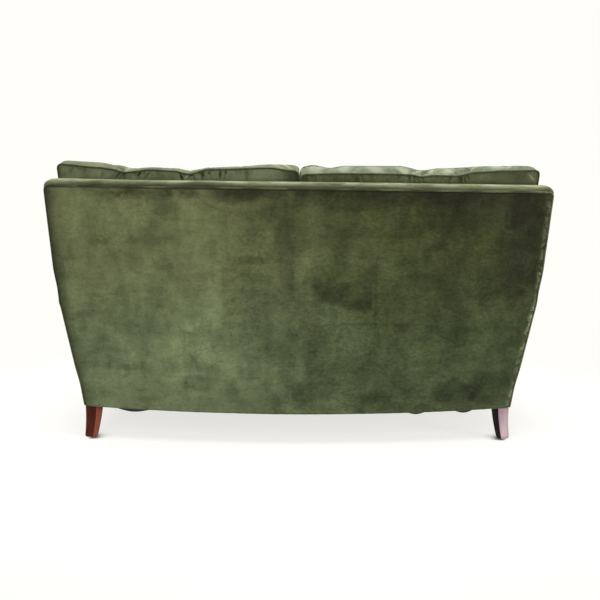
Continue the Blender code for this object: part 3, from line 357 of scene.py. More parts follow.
def sabre_leg(place, facing, word, side):
    """A square leg with rounded edges. facing is 1 at the rear and -1 in front."""
    glide_low, glide_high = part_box(f"glide_{place}_{word}")
    foot = (glide_low + glide_high) / 2
    way = Vector((side * math.sin(LEG_TURN), facing * math.cos(LEG_TURN), 0.0))
    across = Vector((-way.y, way.x, 0.0))
    top = foot - way * LEG_SWEEP
    bm = bmesh.new()
    rings = []
    for step in range(LEG_STEPS + 1):
        share = 1 - (1 - step / LEG_STEPS) ** 1.5
        half = (LEG_TOP_WIDTH + (LEG_FOOT_WIDTH - LEG_TOP_WIDTH) * share) / 2
        middle = top + way * (LEG_SWEEP * share * share)
        middle.z = LEG_TOP + (LEG_FOOT - LEG_TOP) * share
        near_foot = max(0.0, 1 - (LEG_TOP - LEG_FOOT) * (1 - share) / FOOT_ROUND)
        half -= FOOT_TUCK * (1 - math.sqrt(1 - near_foot * near_foot))
        ring = []
        for u, v in ((1, 1), (-1, 1), (-1, -1), (1, -1)):
            corner = Vector((u * (half - LEG_ARRIS), v * (half - LEG_ARRIS)))
            start = math.atan2(v, u) - math.pi / 4
            for k in range(4):
                angle = start + math.pi / 2 * k / 3
                point = corner + Vector((math.cos(angle), math.sin(angle))) * LEG_ARRIS
                ring.append(bm.verts.new(middle + way * point.x + across * point.y))
        rings.append(ring)
    for near, far in zip(rings, rings[1:]):
        join_rings(bm, near, far)
    bm.faces.new(rings[0])
    bm.faces.new(rings[-1])
    mesh = as_mesh(bm, f"sabre_leg_{place}_{word}")
    mesh.shade_smooth()
    mesh.set_sharp_from_angle(angle=math.radians(40))
    mesh.materials.append(MAHOGANY[word if facing > 0 else "left"])
    made = placed(mesh.name, mesh)
    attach(made, "sofa")
    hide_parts(f"{place}_leg_{word}")


for word, side in BOTH.items():
    sabre_leg("rear", 1, word, side)
    sabre_leg("front", -1, word, side)

nickel, shader, place = new_finish("nickel", Metallic=1.0)
scuffed = clouds(stretched(place, (1.0, 1.0, 4.0)), 220.0, 3.0)
join(mixed(scuffed, NICKEL_DARK, NICKEL_LIGHT), shader["Base Color"])
join(stepped(scuffed, 0.35, 0.65, 0.22, 0.48), shader["Roughness"])
wear(nickel, *[f"glide_{place}_{word}" for place in ("front", "rear") for word in BOTH])

# Dust cover
# Thin black cambric, tacked under the rails and cut away round the legs. It hangs slack
# and peeps out under the velvet near both rear corners.

BOW_RADIUS = 3.200
REAR_Y = 0.464
WELT_HEIGHT = 0.8748
ROLL_CENTRE_Z = 0.488
COVER_BOTTOM = 0.122
HALF_AT_ARM = 0.826
TOP_SPREAD = 0.032
SIDE_FULLNESS = 0.0065
FOOT_INSET = 0.076
OUTER_RAKE = math.radians(4.5)
FRAME_FRONT = -0.430
ARM_SPLAY = 0.030
ARM_SPLAY_START = 0.3038
CAMBRIC_TOP = COVER_BOTTOM - 0.0008
CAMBRIC_INSET = 0.004
CAMBRIC_REAR = 0.0085
TACK_SPACING = 0.045
LEG_NOTCH = 0.074
SLACK = 0.009
CAMBRIC_DARK = (0.006, 0.006, 0.008, 1.0)
CAMBRIC_LIGHT = (0.022, 0.023, 0.028, 1.0)
LINT = (0.045, 0.044, 0.045, 1.0)
# Where it hangs lowest: x, y, how far down, and how wide
POUCHES = (
    (0.582, 0.285, 0.0270, 0.145),
    (-0.418, 0.318, 0.0225, 0.090),
    (-0.588, 0.286, 0.0265, 0.085),
    (0.060, -0.100, 0.010, 0.260),
)


def bow(x):
    """How far the back comes forward at x, because it bows out in plan."""
    return x * x / (2 * BOW_RADIUS)


def half_width(z):
    """Half the width over the back and the arms' foot. The sides stand steeper above the arms."""
    if z > ROLL_CENTRE_Z:
        plain = HALF_AT_ARM + TOP_SPREAD * (z - ROLL_CENTRE_Z) / (WELT_HEIGHT - ROLL_CENTRE_Z)
        return plain + SIDE_FULLNESS * smooth((z - ROLL_CENTRE_Z - 0.03) / 0.09)
    plain = HALF_AT_ARM - FOOT_INSET * (ROLL_CENTRE_Z - z) / (ROLL_CENTRE_Z - COVER_BOTTOM)
    return plain - 0.003 * hump(z - 0.195, 0.07)


def outer_y(x, z):
    """The outside back's face."""
    return REAR_Y - (WELT_HEIGHT - z) * math.tan(OUTER_RAKE) - bow(x)


def splay(y):
    """How far an arm has spread outwards at y."""
    return ARM_SPLAY * max(0.0, ARM_SPLAY_START - y) / (ARM_SPLAY_START - FRAME_FRONT)


def spread(start, end, steps):
    """Evenly spaced values from start to end, both included."""
    return [start + (end - start) * k / steps for k in range(steps + 1)]


def smooth(share):
    """0 before 0, 1 after 1, and a soft S between."""
    share = min(1.0, max(0.0, share))
    return share * share * (3 - 2 * share)


def hump(distance, width):
    """1 at distance 0, falling softly to 0 at width."""
    return 1 - smooth(abs(distance) / width)


def uneven(point, size, seed=0.0):
    """Soft random height between about -1 and 1, with lumps of that size."""
    return noise.noise(Vector(point) / size + Vector((seed, seed * 1.7, -seed)))


def add_piece(name, mesh, finish):
    """A smooth piece in that finish, placed in the scene."""
    mesh.shade_smooth()
    mesh.materials.append(finish)
    made = placed(name, mesh)
    return made


def add_wall(made, thickness=0.002):
    """Gives a cover the thickness of its cloth, inwards."""
    wall = made.modifiers.new("cloth", "SOLIDIFY")
    wall.thickness = thickness
    wall.offset = -1.0
    return made


def drop_loose(bm):
    """Removes the points that no face uses."""
    bmesh.ops.delete(bm, geom=[v for v in bm.verts if not v.link_faces], context="VERTS")


def skin(name, columns, finish, inside, thickness=0.002, keep=None):
    """A cover through a grid of points. Its good side looks away from the point inside."""
    rows = len(columns[0])
    faces = []
    for i in range(len(columns) - 1):
        for j in range(rows - 1):
            if keep is None or keep(i, j):
                start = i * rows + j
                faces.append((start, start + rows, start + rows + 1, start + 1))
    mesh = bpy.data.meshes.new(name)
    mesh.from_pydata([point for column in columns for point in column], [], faces)
    outwards = sum(face.normal.dot(face.center - Vector(inside)) * face.area for face in mesh.polygons)
    if outwards < 0:
        mesh.flip_normals()
    if keep is not None:
        bm = bmesh.new()
        bm.from_mesh(mesh)
        drop_loose(bm)
        bm.to_mesh(mesh)
        bm.free()
    return add_wall(add_piece(name, mesh, finish), thickness)


cambric, shader, place = new_finish("black_cambric", Roughness=0.92)
fibres = use(plain_weave, Vector=place, Threads=1400.0, Slubs=2.5)
lint = stepped(clouds(place, 34.0, 5.0, 0.7), 0.52, 0.78)
join(mixed(lint, mixed(fibres["Thread"], CAMBRIC_DARK, CAMBRIC_LIGHT), LINT), shader["Base Color"])
raise_surface(shader, fibres["Height"], 0.0003)

DUST_COLUMNS, DUST_ROWS = 120, 64
cambric_half = half_width(COVER_BOTTOM) - CAMBRIC_INSET
cambric_columns = []
for share in spread(-1.0, 1.0, DUST_COLUMNS):
    rear = outer_y(share * cambric_half, COVER_BOTTOM) - CAMBRIC_REAR
    column = []
    for way in spread(0.0, 1.0, DUST_ROWS):
        y = FRAME_FRONT + (rear - FRAME_FRONT) * way
        x = share * (cambric_half + splay(y))
        free = smooth(min(9 - 9 * abs(share), 9 * way, 15 - 15 * way))
        down = SLACK * (1 - share ** 4)
        down += sum(deep * hump(math.hypot(x - at_x, y - at_y), wide) for at_x, at_y, deep, wide in POUCHES)
        down += 0.0014 * uneven((x, y, 0.0), 0.055) + 0.0025 * uneven((x, y, 0.0), 0.16, 3.0)
        tacks = 0.0016 * abs(math.sin(math.pi * x / TACK_SPACING)) * hump(1 - way, 0.06)
        column.append(Vector((x, y, CAMBRIC_TOP - max(0.0, down * free + tacks))))
    cambric_columns.append(column)


def clear_of_legs(i, j):
    """The cambric's corners are cut away where the legs come through."""
    x = cambric_columns[i][j].x
    y = cambric_columns[i][j].y
    side_gap = cambric_half + splay(y) - abs(x)
    near_end = min(y - FRAME_FRONT, outer_y(x, COVER_BOTTOM) - y)
    return side_gap > LEG_NOTCH or near_end > LEG_NOTCH


dust_cover = skin(
    "dust_cover_cambric", cambric_columns, cambric, (0, 0, 1), 0.0005, clear_of_legs
)
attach(dust_cover, "sofa")
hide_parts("dust_cover")

# Velvet
# Cotton velvet in olive green. Its pile lies this way and that where hands have brushed
# it, so it is mottled with darker and lighter patches, flecks and long streaks.

VELVET_DARK = (0.030, 0.038, 0.016, 1.0)
VELVET_LIGHT = (0.160, 0.190, 0.088, 1.0)
SHEEN_TINT = (0.780, 0.860, 0.560, 1.0)
CORD_DARK = (0.016, 0.019, 0.009, 1.0)
CORD_LIGHT = (0.075, 0.085, 0.040, 1.0)

velvet_nap, given, result = effect(
    "velvet_nap", {"Nap": "Float", "Pile": "Float"}, Vector="Vector", Patch="Float", Seed="Float"
)
sized = vectors("DIVIDE", vectors("ADD", given["Vector"], given["Seed"]), given["Patch"])
drift = node(velvet_nap, "TexNoise", {"Vector": sized, "Scale": 0.8, "Detail": 2.0}).outputs[1]
drift = stretched(vectors("SUBTRACT", drift, (0.5, 0.5, 0.5)), (0.45, 0.45, 0.45))
brushed = vectors("ADD", sized, drift)
# Each layer: how much finer it is along x and y and along z, detail, from, to and effect
NAP_LAYERS = (
    (0.55, 0.55, 4.0, 0.36, 0.64, 0.22),
    (1.30, 0.34, 3.0, 0.36, 0.64, 0.11),
    (0.90, 5.50, 5.0, 0.34, 0.66, 0.11),
    (2.20, 2.20, 4.0, 0.36, 0.64, 0.15),
    (6.00, 0.80, 2.0, 0.36, 0.64, 0.05),
    (3.20, 11.0, 3.0, 0.60, 0.74, -0.12),
    (4.60, 5.60, 4.0, 0.60, 0.76, -0.15),
)
total = stepped(clouds(given["Vector"], 210.0, 3.0, 0.7), 0.25, 0.75, 0.08, 0.26)
for flat, tall, detail, start, end, share in NAP_LAYERS:
    layer = clouds(stretched(brushed, (flat, flat, tall)), 1.0, detail, 0.58)
    total = plus(total, stepped(layer, start, end, 0.0, share))
# Short curved lines where the pile has been crushed
wrinkle = maths("ABSOLUTE", minus(clouds(sized, 1.7, 1.5, 0.45, 0.6), 0.5))
patchy = stepped(clouds(sized, 1.3, 3.0), 0.50, 0.64, 0.0, -0.13)
join(plus(total, times(stepped(wrinkle, 0.034, 0.0), patchy)), result["Nap"])
join(clouds(given["Vector"], 650.0, 3.0, 0.7), result["Pile"])


def velvet(name, patch=0.11, seed=0.0, dark=VELVET_DARK, light=VELVET_LIGHT, shade=None):
    """Velvet with patches of that size. shade(place, colour) may tint it further."""
    made, shader, place = new_finish(name, Sheen_Weight=0.22, Sheen_Roughness=0.38)
    shader["Sheen Tint"].default_value = SHEEN_TINT
    shader["Specular IOR Level"].default_value = 0.18
    pile = use(velvet_nap, Vector=place, Patch=patch, Seed=seed)
    colour = mixed(pile["Nap"], dark, light)
    join(colour if shade is None else shade(place, colour), shader["Base Color"])
    join(stepped(pile["Nap"], 0.1, 0.9, 0.94, 0.74), shader["Roughness"])
    raise_surface(shader, pile["Pile"], 0.0012, 0.6)
    return made


pad_velvet = velvet("pad_velvet", 0.12, 3.1)
cover_velvet = velvet("cover_velvet", 0.12, 7.7)
welt_velvet = velvet("welt_velvet", 0.035, 1.3, CORD_DARK, CORD_LIGHT)

# Seat platform
# The stuffed deck under the loose seat cushions. Its front lip is velvet, and behind a
# stitched seam it is plain green platform cloth.

PLATFORM_TOP = 0.3094
PAD_FOOT = 0.245
LIP_DEPTH = 0.115
EDGE_ROUND = 0.012
INNER_RAKE = math.radians(10.0)
INNER_FOOT_Y = 0.2901
PLATFORM_LEVEL = 0.310
ARM_TOP_INNER = 0.688
ARM_LEAN = 0.2472
PAD_CLEARANCE = 0.0015
DECK_CLEARANCE = 0.0035
SEAM_GAP = 0.0006
CLOTH_DARK = (0.040, 0.052, 0.022, 1.0)
CLOTH_LIGHT = (0.105, 0.128, 0.060, 1.0)


def inner_y(x, z):
    """The inside back's front face."""
    return INNER_FOOT_Y + (z - PLATFORM_LEVEL) * math.tan(INNER_RAKE) - bow(x)


def arm_inner_x(z):
    """The inside arm's face at the back end."""
    return ARM_TOP_INNER - (ROLL_CENTRE_Z - z) * ARM_LEAN


def platform_columns(y_start, y_end, steps, front_lip):
    """Grid over the deck between two depths. Its sides, and its front lip, turn down."""
    columns = []
    shares = [(-1.0, True)] + [(s, False) for s in spread(-1.0, 1.0, 110)] + [(1.0, True)]
    for share, is_side in shares:
        column = []
        if front_lip:
            y = FRAME_FRONT
            low_x = share * (arm_inner_x(PAD_FOOT) + splay(y) - PAD_CLEARANCE)
            column.append(Vector((low_x, y, PAD_FOOT)))
            for angle in spread(0.0, math.pi / 2, 4)[:-1]:
                z = PLATFORM_TOP - EDGE_ROUND * (1 - math.sin(angle))
                at_x = share * (arm_inner_x(z) + splay(y) - PAD_CLEARANCE)
                column.append(Vector((at_x, y + EDGE_ROUND * (1 - math.cos(angle)), z)))
        for way in spread(0.0, 1.0, steps):
            y = y_start + (y_end - bow(share * ARM_TOP_INNER) * (y_end > 0) - y_start) * way
            x = share * (arm_inner_x(PLATFORM_TOP) + splay(y) - PAD_CLEARANCE)
            z = PLATFORM_TOP - 0.0007 - 0.0006 * uneven((x, y, 0), 0.05)
            z -= 0.0035 * abs(uneven((x, y, 0), 0.21, 5.0))
            column.append(Vector((x, y, z)))
        if is_side:
            for point in column:
                point.x *= arm_inner_x(PAD_FOOT) / arm_inner_x(PLATFORM_TOP)
                point.z = min(point.z, PAD_FOOT)
        columns.append(column)
    return columns


platform_cloth = woven("platform_cloth", CLOTH_DARK, CLOTH_LIGHT, 900.0, 1.2, Roughness=0.9)
seam_y = FRAME_FRONT + LIP_DEPTH
deck_rear = inner_y(0.0, PLATFORM_LEVEL) - DECK_CLEARANCE
lip_columns = platform_columns(FRAME_FRONT + EDGE_ROUND, seam_y, 12, True)
deck_columns = platform_columns(seam_y + SEAM_GAP, deck_rear, 60, False)
lip = skin("platform_lip", lip_columns, pad_velvet, (0, 0, 0))
deck = skin("platform_deck", deck_columns, platform_cloth, (0, 0, 0))
for pad in (lip, deck):
    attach(pad, "sofa")
    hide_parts("seat_platform")

# Inside arms
# Low rolled arms: velvet over stuffing, pulled from the platform up and round the roll,
# and tacked under it. It is gathered in small pleats where it turns onto the front.

ROLL_CENTRE_X = 0.764
ROLL_RADIUS = 0.076
ROLL_SIDE_X = 0.7
ROLL_END = math.radians(-62.0)
ARM_STEPS = 90
ROLL_POINTS = 72
STUFFING_END = 0.0441
PLEATS = 22
PLEAT_DEPTH = 0.0011
PLEAT_LENGTH = 0.030
ARM_SINK = 0.0016
# How the cover turns in behind the arm: how far in, and how far back
REAR_TURN = ((0.070, -0.004), (0.045, 0.0005), (0.020, 0.0015), (0.008, 0.0008), (0.002, 0.0))


def upholstery_rear_y(x, z):
    """Where the stuffing ends, just clear of the back frame."""
    return outer_y(x, z) - STUFFING_END


def arm_outline():
    """Points (x, z, angle) from the platform up the inner side and round the roll."""
    wall = [(arm_inner_x(z), z, math.pi) for z in spread(PAD_FOOT, ROLL_CENTRE_Z, 30)[:-1]]
    return wall + [
        (ROLL_CENTRE_X + ROLL_RADIUS * math.cos(a), ROLL_CENTRE_Z + ROLL_RADIUS * math.sin(a), a)
        for a in spread(math.pi, ROLL_END, ROLL_POINTS)
    ]


def arm_relief(x, y, z, angle):
    """How far the arm's cover stands off its true form."""
    from_front = y - FRAME_FRONT
    on_roll = 1.0 if z > ROLL_CENTRE_Z or angle < math.pi else smooth((z - 0.41) / 0.078)
    pleat = math.sin(PLEATS * angle + 2.2 * uneven((angle, 0, 0), 0.5))
    off = PLEAT_DEPTH * pleat * on_roll * math.exp(-from_front / PLEAT_LENGTH)
    off += 0.0016 * uneven((x, y, z), 0.11, 2.0) + 0.0007 * uneven((x, y * 0.5, z), 0.035)
    off -= 0.0035 * hump(from_front - 0.25, 0.30) * smooth((z - 0.51) / 0.05)
    return off - ARM_SINK


def inside_arm(word, side):
    """The cover of an arm's inner side and roll, which turns in at the rear."""
    outline = arm_outline()
    rings = []
    for step in range(ARM_STEPS + 1):
        share = 1 - (1 - step / ARM_STEPS) ** 1.3
        ring = []
        for x, z, angle in outline:
            rear = upholstery_rear_y(x, z)
            y = rear + (FRAME_FRONT - rear) * share
            on_roll = z > ROLL_CENTRE_Z or x > ROLL_SIDE_X
            outward = (math.cos(angle), 0, math.sin(angle)) if on_roll else (-1, 0, 0)
            point = Vector((x + splay(y), y, z)) + Vector(outward) * arm_relief(x, y, z, angle)
            ring.append(Vector((side * point.x, point.y, point.z)))
        rings.append(ring)
    caps = []
    for inset, back in REAR_TURN:
        cap = []
        for (x, z, angle), start in zip(outline, rings[0]):
            on_roll = angle < math.pi or z >= ROLL_CENTRE_Z
            towards = Vector((ROLL_CENTRE_X - x, 0, ROLL_CENTRE_Z - z) if on_roll else (1, 0, 0))
            towards = towards.normalized() * inset
            cap.append(start + Vector((side * towards.x, back, towards.z)))
        caps.append(cap)
    inside = (side * ROLL_CENTRE_X, 0, 0.40)
    made = skin("inside_arm_cover_" + word, caps + rings, pad_velvet, inside)
    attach(made, "sofa")
    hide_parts("inside_arm_" + word)


for word, side in BOTH.items():
    inside_arm(word, side)

# Inside back
# Stuffed inside back in one piece of velvet. It turns over the top rail as a soft roll,
# is gathered round both top corners, and runs back along the sides to the welt.

CROWN_FOOT = 0.8788
WELT_TILT = 0.005
TOP_ROLL_RISE = 0.0192
ROLL_OVERHANG = 0.006
SIDE_ROUND = 0.016
TOP_CORNER = 0.056
BORDER_FOOT, BORDER_SIDE, BORDER_TOP = 0.415, 0.70, 0.81
PANEL_LIFT = 0.0012
FRONT_CORNER = (0.034, 0.013)
REAR_CORNER = (0.028, 0.020)
# Velvet of the roll, and the pale colour of the painted sheen along its worn top
ROLL_DARK = (0.030, 0.034, 0.015, 1.0)
ROLL_LIGHT = (0.152, 0.168, 0.080, 1.0)
ROLL_SHEEN_AND_WEAR = (0.350, 0.375, 0.230, 1.0)
BACK_COLUMNS, BACK_ROWS, ROLL_ROWS = 160, 62, 18


def corner_cut(u, v, width, length, radius, radius_v=None):
    """How far a corner of a width by length outline moves in, both ways, to round it."""
    radius_v = radius_v or radius
    at_u, at_v = min(u, 1 - u) * width, min(v, 1 - v) * length
    if at_u >= radius or at_v >= radius_v:
        return 0.0, 0.0
    along_u, along_v = 1 - at_u / radius, 1 - at_v / radius_v
    reach = math.hypot(along_u, along_v)
    pull = max(0.0, reach - 1) / max(reach, 1)
    return pull * along_u * radius, pull * along_v * radius_v


def grid_edge(cells):
    """The ordered (i, j) corners round a set of grid cells."""
    after = {}
    for i, j in cells:
        ring = ((i, j), (i + 1, j), (i + 1, j + 1), (i, j + 1))
        beyond = ((i, j - 1), (i + 1, j), (i, j + 1), (i - 1, j))
        for start, end, neighbour in zip(ring, ring[1:] + ring[:1], beyond):
            if neighbour not in cells:
                after[start] = end
    start = min(after)
    loop = [start]
    while after[loop[-1]] != start:
        loop.append(after[loop[-1]])
    return loop


def boxed(name, front, rear, rows, swell, finish, keep=None, closed=True, border=None):
    """Two panels, given as grids of points, and the border sewn round between their edges.

    swell(place, outward, share) says how far the border stands out on its way from front
    to rear. Without closed, the rear panel is left out. border(place) says which of the
    border is there. Returns the piece and the points along its two seams."""
    size = (len(front) - 1, len(front[0]) - 1)
    cells = {(i, j) for i in range(size[0]) for j in range(size[1]) if keep is None or keep(i, j)}
    loop = grid_edge(cells)
    bm = bmesh.new()
    made = {}

    def vertex(key, point):
        if key not in made:
            made[key] = bm.verts.new(point)
        return made[key]

    for i, j in sorted(cells):
        ring = ((i, j), (i + 1, j), (i + 1, j + 1), (i, j + 1))
        bm.faces.new([vertex((0, *c), front[c[0]][c[1]]) for c in ring])
        if closed:
            bm.faces.new([vertex((1, *c), rear[c[0]][c[1]]) for c in ring[::-1]])
    middle = sum((front[i][j] for i, j in loop), Vector()) / len(loop)
    strands = []
    outwards = []
    for k, (i, j) in enumerate(loop):
        before, after = loop[k - 1], loop[(k + 1) % len(loop)]
        tangent = front[after[0]][after[1]] - front[before[0]][before[1]]
        outwards.append(tangent.cross(rear[i][j] - front[i][j]).normalized())
    if sum(out.dot(front[i][j] - middle) for out, (i, j) in zip(outwards, loop)) < 0:
        outwards = [-out for out in outwards]
    for k, (i, j) in enumerate(loop):
        strand = []
        for row in range(rows + 1):
            share = row / rows
            point = front[i][j].lerp(rear[i][j], share)
            point = point + outwards[k] * swell(front[i][j], outwards[k], share)
            key = (0, i, j) if row == 0 else (1, i, j) if row == rows and closed else ("b", k, row)
            strand.append(vertex(key, point))
        strands.append(strand)
    for k in range(len(loop)):
        near, far = strands[k], strands[(k + 1) % len(loop)]
        if border is not None and not border(near[0].co, far[0].co):
            continue
        for row in range(rows):
            bm.faces.new((near[row], near[row + 1], far[row + 1], far[row]))
    drop_loose(bm)
    bm.verts.index_update()
    seams = [[strand[end].index for strand in strands if strand[end].is_valid] for end in (0, -1)]
    return add_piece(name, as_mesh(bm, name), finish), seams


def back_point(share, way, is_front):
    """A point of the inside back's front panel, or of the outline round its rear edge."""
    z = PAD_FOOT + (CROWN_FOOT - PAD_FOOT) * way
    half = half_width(z) - (SIDE_ROUND if is_front else 0.0)
    z += WELT_TILT * share * half * smooth((z - 0.8) / 0.05)
    rounding = FRONT_CORNER if is_front else REAR_CORNER
    in_x, in_z = corner_cut((share + 1) / 2, max(way, 0.5), 2 * half, CROWN_FOOT - PAD_FOOT, *rounding)
    x = share * half - math.copysign(in_x, share)
    z -= in_z
    if is_front:
        lumps = 0.0012 * uneven((x, 0, z), 0.13, 4.0) + 0.0006 * uneven((x, 0, z), 0.04)
        return Vector((x, inner_y(x, z) + PANEL_LIFT - lumps, z))
    return Vector((x, outer_y(x, z) - 0.0072 * smooth((0.860 - z) / 0.02) - 0.0005, z))


def back_swell(place, outward, share):
    """The border of the inside back: a soft roll along the top, a firm edge down the sides."""
    over_top = max(0.0, outward.z) ** 2
    into = max(0.0, abs(place.x) - half_width(WELT_HEIGHT) + TOP_CORNER) / TOP_CORNER
    rise = TOP_ROLL_RISE - 0.001 * place.x + 0.003 * smooth((place.x - 0.5) / 0.3)
    rise *= math.sqrt(max(0.0, 1 - into * into))
    roll = (1 - abs(2 * share - 1) ** 2.7) ** (1 / 2.7) * rise
    roll += 0.0008 * uneven((place.x, share * 0.1, 0), 0.09, 8.0) * (1 - abs(2 * share - 1))
    turn = min(1.0, share * 5)
    side_edge = SIDE_ROUND * (math.sqrt(1 - (1 - turn) ** 2) - share)
    corner = max(0.0, into) * math.sin(math.pi * share)
    gathers = 0.0014 * corner * math.sin(place.x / 0.0028 + share * 4)
    return roll * over_top + side_edge * (1 - over_top) + gathers


back_shares = [math.copysign(1 - (1 - abs(s)) ** 1.35, s) for s in spread(-1.0, 1.0, BACK_COLUMNS)]
back_ways = [1 - (1 - w) ** 1.35 for w in spread(0.0, 1.0, BACK_ROWS)]
front_panel = [[back_point(s, w, True) for w in back_ways] for s in back_shares]
rear_panel = [[back_point(s, w, False) for w in back_ways] for s in back_shares]


def above_arms(near, far):
    """The border runs along the top and down each side to where the outside arm begins."""
    return near.z > BORDER_FOOT and abs(near.x) > BORDER_SIDE or near.z > BORDER_TOP


def shade_roll(place, colour):
    """A painted sheen, broken by wear, along the top of the roll; painted shade in the seam above the welt;
    and darker worn patches.
    """
    parts = split(place)
    above = minus(minus(parts[2], times(parts[0], WELT_TILT)), CROWN_FOOT)
    # Painted shade in the seam above the welt, fading out at the left end
    tucked = times(stepped(above, 0.010, 0.000, 0.0, 0.35), stepped(parts[0], 0.76, 0.68))
    rubbed = clouds(stretched(place, (9.0, 9.0, 30.0)), 1.0, 4.0, 0.6)
    tucked = plus(tucked, stepped(rubbed, 0.50, 0.66, 0.0, 0.32))
    worn = clouds(stretched(place, (11.0, 11.0, 50.0)), 1.0, 5.0, 0.62)
    # A painted sheen along the top of the roll, broken up by worn patches
    crown = times(stepped(above, 0.005, 0.017, 0.16, 0.60), stepped(worn, 0.38, 0.62, 0.12))
    return mixed(crown, mixed(tucked, colour, VELVET_DARK), ROLL_SHEEN_AND_WEAR)


roll_velvet = velvet("back_pad_velvet", 0.12, 3.1, ROLL_DARK, ROLL_LIGHT, shade_roll)
inside_back, _ = boxed(
    "inside_back_cover", front_panel, rear_panel, ROLL_ROWS, back_swell, roll_velvet,
    closed=False, border=above_arms,
)
for vertex in inside_back.data.vertices:
    x, y, z = vertex.co
    level = (z - CROWN_FOOT - WELT_TILT * x) / TOP_ROLL_RISE
    if 0.0 < level < 1.0 and abs(x) < half_width(z) - TOP_CORNER / 2:
        over = ROLL_OVERHANG * math.sin(math.pi * level) * smooth((y - outer_y(x, z) + 0.03) / 0.02)
        vertex.co.y += over * smooth((0.74 - x) / 0.06)
add_wall(inside_back)
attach(inside_back, "sofa")
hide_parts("inside_back")

# Outside arms, front border and arm facings
# Plain velvet panels over card and webbing. The outside arms hang from under the roll,
# and the border crosses the front rail. Each facing is a padded board, edged with piping.

HEM_DROP = 0.005
HEM_TURN = 0.012
HEM_DEPTH = 0.003
PANEL_THICKNESS = 0.0025
OUTSIDE_ARM_TOP = 0.4206
SIDE_HEM = COVER_BOTTOM - HEM_DROP * 0.6
FACING_DEPTH = 0.0165
FACING_GAP = 0.0003
FACING_PIPING = 0.0035
CORD_DEPTH, CORD_INSET = 0.0042, 0.0005
ARM_PANEL_HOLLOW = 0.0025
PIPING_STEP = 0.006
PIPING_SIDES = 8
FACING_ROUND = 0.007
FACING_APEX = math.radians(86.0)
WELT_GAP = 0.007
BORDER_DEPTH = 0.0055


def hem_points(low, inward, steps=4):
    """The lower edge of a panel: it turns under the rail. low is the panel's lowest point."""
    return [
        low + inward * (HEM_TURN * math.sin(angle)) - Vector((0, 0, HEM_DEPTH * math.cos(angle)))
        for angle in spread(math.pi / 2, 0.0, steps)
    ]


def outside_arm(word, side):
    """The panel under the roll. Its top is tucked in, and its foot turns under the rail."""
    columns = []
    for share in spread(0.0, 1.0, 100):
        column = []
        for way in spread(0.0, 1.0, 44):
            z = SIDE_HEM + (OUTSIDE_ARM_TOP - SIDE_HEM) * way
            rear = outer_y(half_width(z), z) - WELT_GAP
            y = rear + (FRAME_FRONT - rear) * share
            free = min(1.0, way * 12, (1 - way) * 12, share * 20, (1 - share) * 20)
            off = 0.0011 * uneven((0, y, z), 0.10, 6.0) + 0.0005 * uneven((0, y, z), 0.03)
            off -= ARM_PANEL_HOLLOW * math.sin(math.pi * way) * math.sin(math.pi * share)
            column.append(Vector((side * (half_width(z) + splay(y) + off * free), y, z)))
        hem = hem_points(column[0], Vector((-side, 0, 0)))
        tucked = [column[-1] + Vector((-side * into, 0, 0.0004)) for into in (0.003, 0.008, 0.0125)]
        columns.append(hem[:-1] + column + tucked)
    name = "outside_arm_cover_" + word
    made = skin(name, columns, cover_velvet, (0, 0, 0.3), PANEL_THICKNESS)
    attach(made, "sofa")
    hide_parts("outside_arm_" + word)


def facing_bounds(z):
    """The facing's inner and outer edge at height z, before the arm's splay."""
    if z <= OUTSIDE_ARM_TOP:
        return arm_inner_x(z), half_width(z)
    reach = math.sqrt(max(0.0, ROLL_RADIUS ** 2 - (z - ROLL_CENTRE_Z) ** 2))
    if z > ROLL_CENTRE_Z:
        return ROLL_CENTRE_X - reach, ROLL_CENTRE_X + reach
    return arm_inner_x(z), max(ROLL_CENTRE_X + reach, half_width(z))


def facing_edge_points(inset):
    """The facing's outline (x, z), from its inner foot over the roll to its outer foot."""
    reach = ROLL_RADIUS - inset
    return [
        *((arm_inner_x(z) + inset, z) for z in spread(SIDE_HEM, ROLL_CENTRE_Z, 40)[:-1]),
        *((ROLL_CENTRE_X + reach * math.cos(a), ROLL_CENTRE_Z + reach * math.sin(a))
          for a in spread(math.pi, 0.0, 48)),
        *((facing_bounds(z)[1] - inset, z) for z in spread(ROLL_CENTRE_Z, SIDE_HEM, 40)[1:]),
    ]


def evenly(points, step, closed):
    """Points a step apart along a line through points."""
    length = [0.0]
    for near, far in zip(points, points[1:]):
        length.append(length[-1] + (far - near).length)
    count = max(8, round(length[-1] / step))
    even = []
    at = 0
    for k in range(count + (not closed)):
        target = length[-1] * k / count
        while at < len(length) - 2 and length[at + 1] < target:
            at += 1
        share = (target - length[at]) / max(length[at + 1] - length[at], 1e-9)
        even.append(points[at].lerp(points[at + 1], share))
    return even


def piping(name, path, radius, finish, closed=True, body="sofa"):
    """Velvet sewn round a cord, through points. It is a little lumpy, as sewn piping is."""
    points = [Vector(point) for point in path]
    even = evenly(points + points[:1] * closed, PIPING_STEP, closed)
    last = len(even) - 1
    bm = bmesh.new()
    rings = []
    normal = None
    for k, point in enumerate(even):
        before, after = (k - 1, (k + 1) % len(even)) if closed else (max(k - 1, 0), min(k + 1, last))
        tangent = (even[after] - even[before]).normalized()
        normal = normal or tangent.orthogonal().normalized()
        normal = (normal - tangent * normal.dot(tangent)).normalized()
        other = tangent.cross(normal)
        size = radius * (1 + 0.07 * uneven(point, 0.012) + 0.05 * uneven(point, 0.05, 2.0))
        ring = []
        for s in range(PIPING_SIDES):
            angle = 2 * math.pi * s / PIPING_SIDES
            ring.append(bm.verts.new(point + (normal * math.cos(angle) + other * math.sin(angle)) * size))
        rings.append(ring)
    for k in range(last + closed):
        near, far = rings[k], rings[(k + 1) % len(rings)]
        turn = 0
        if k == last:
            turn = min(range(PIPING_SIDES), key=lambda t: (near[0].co - far[t].co).length)
        join_rings(bm, near, far[turn:] + far[:turn])
    if not closed:
        bm.faces.new(rings[0])
        bm.faces.new(rings[-1])
    made = add_piece(name, as_mesh(bm, name), finish)
    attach(made, body)
    return made


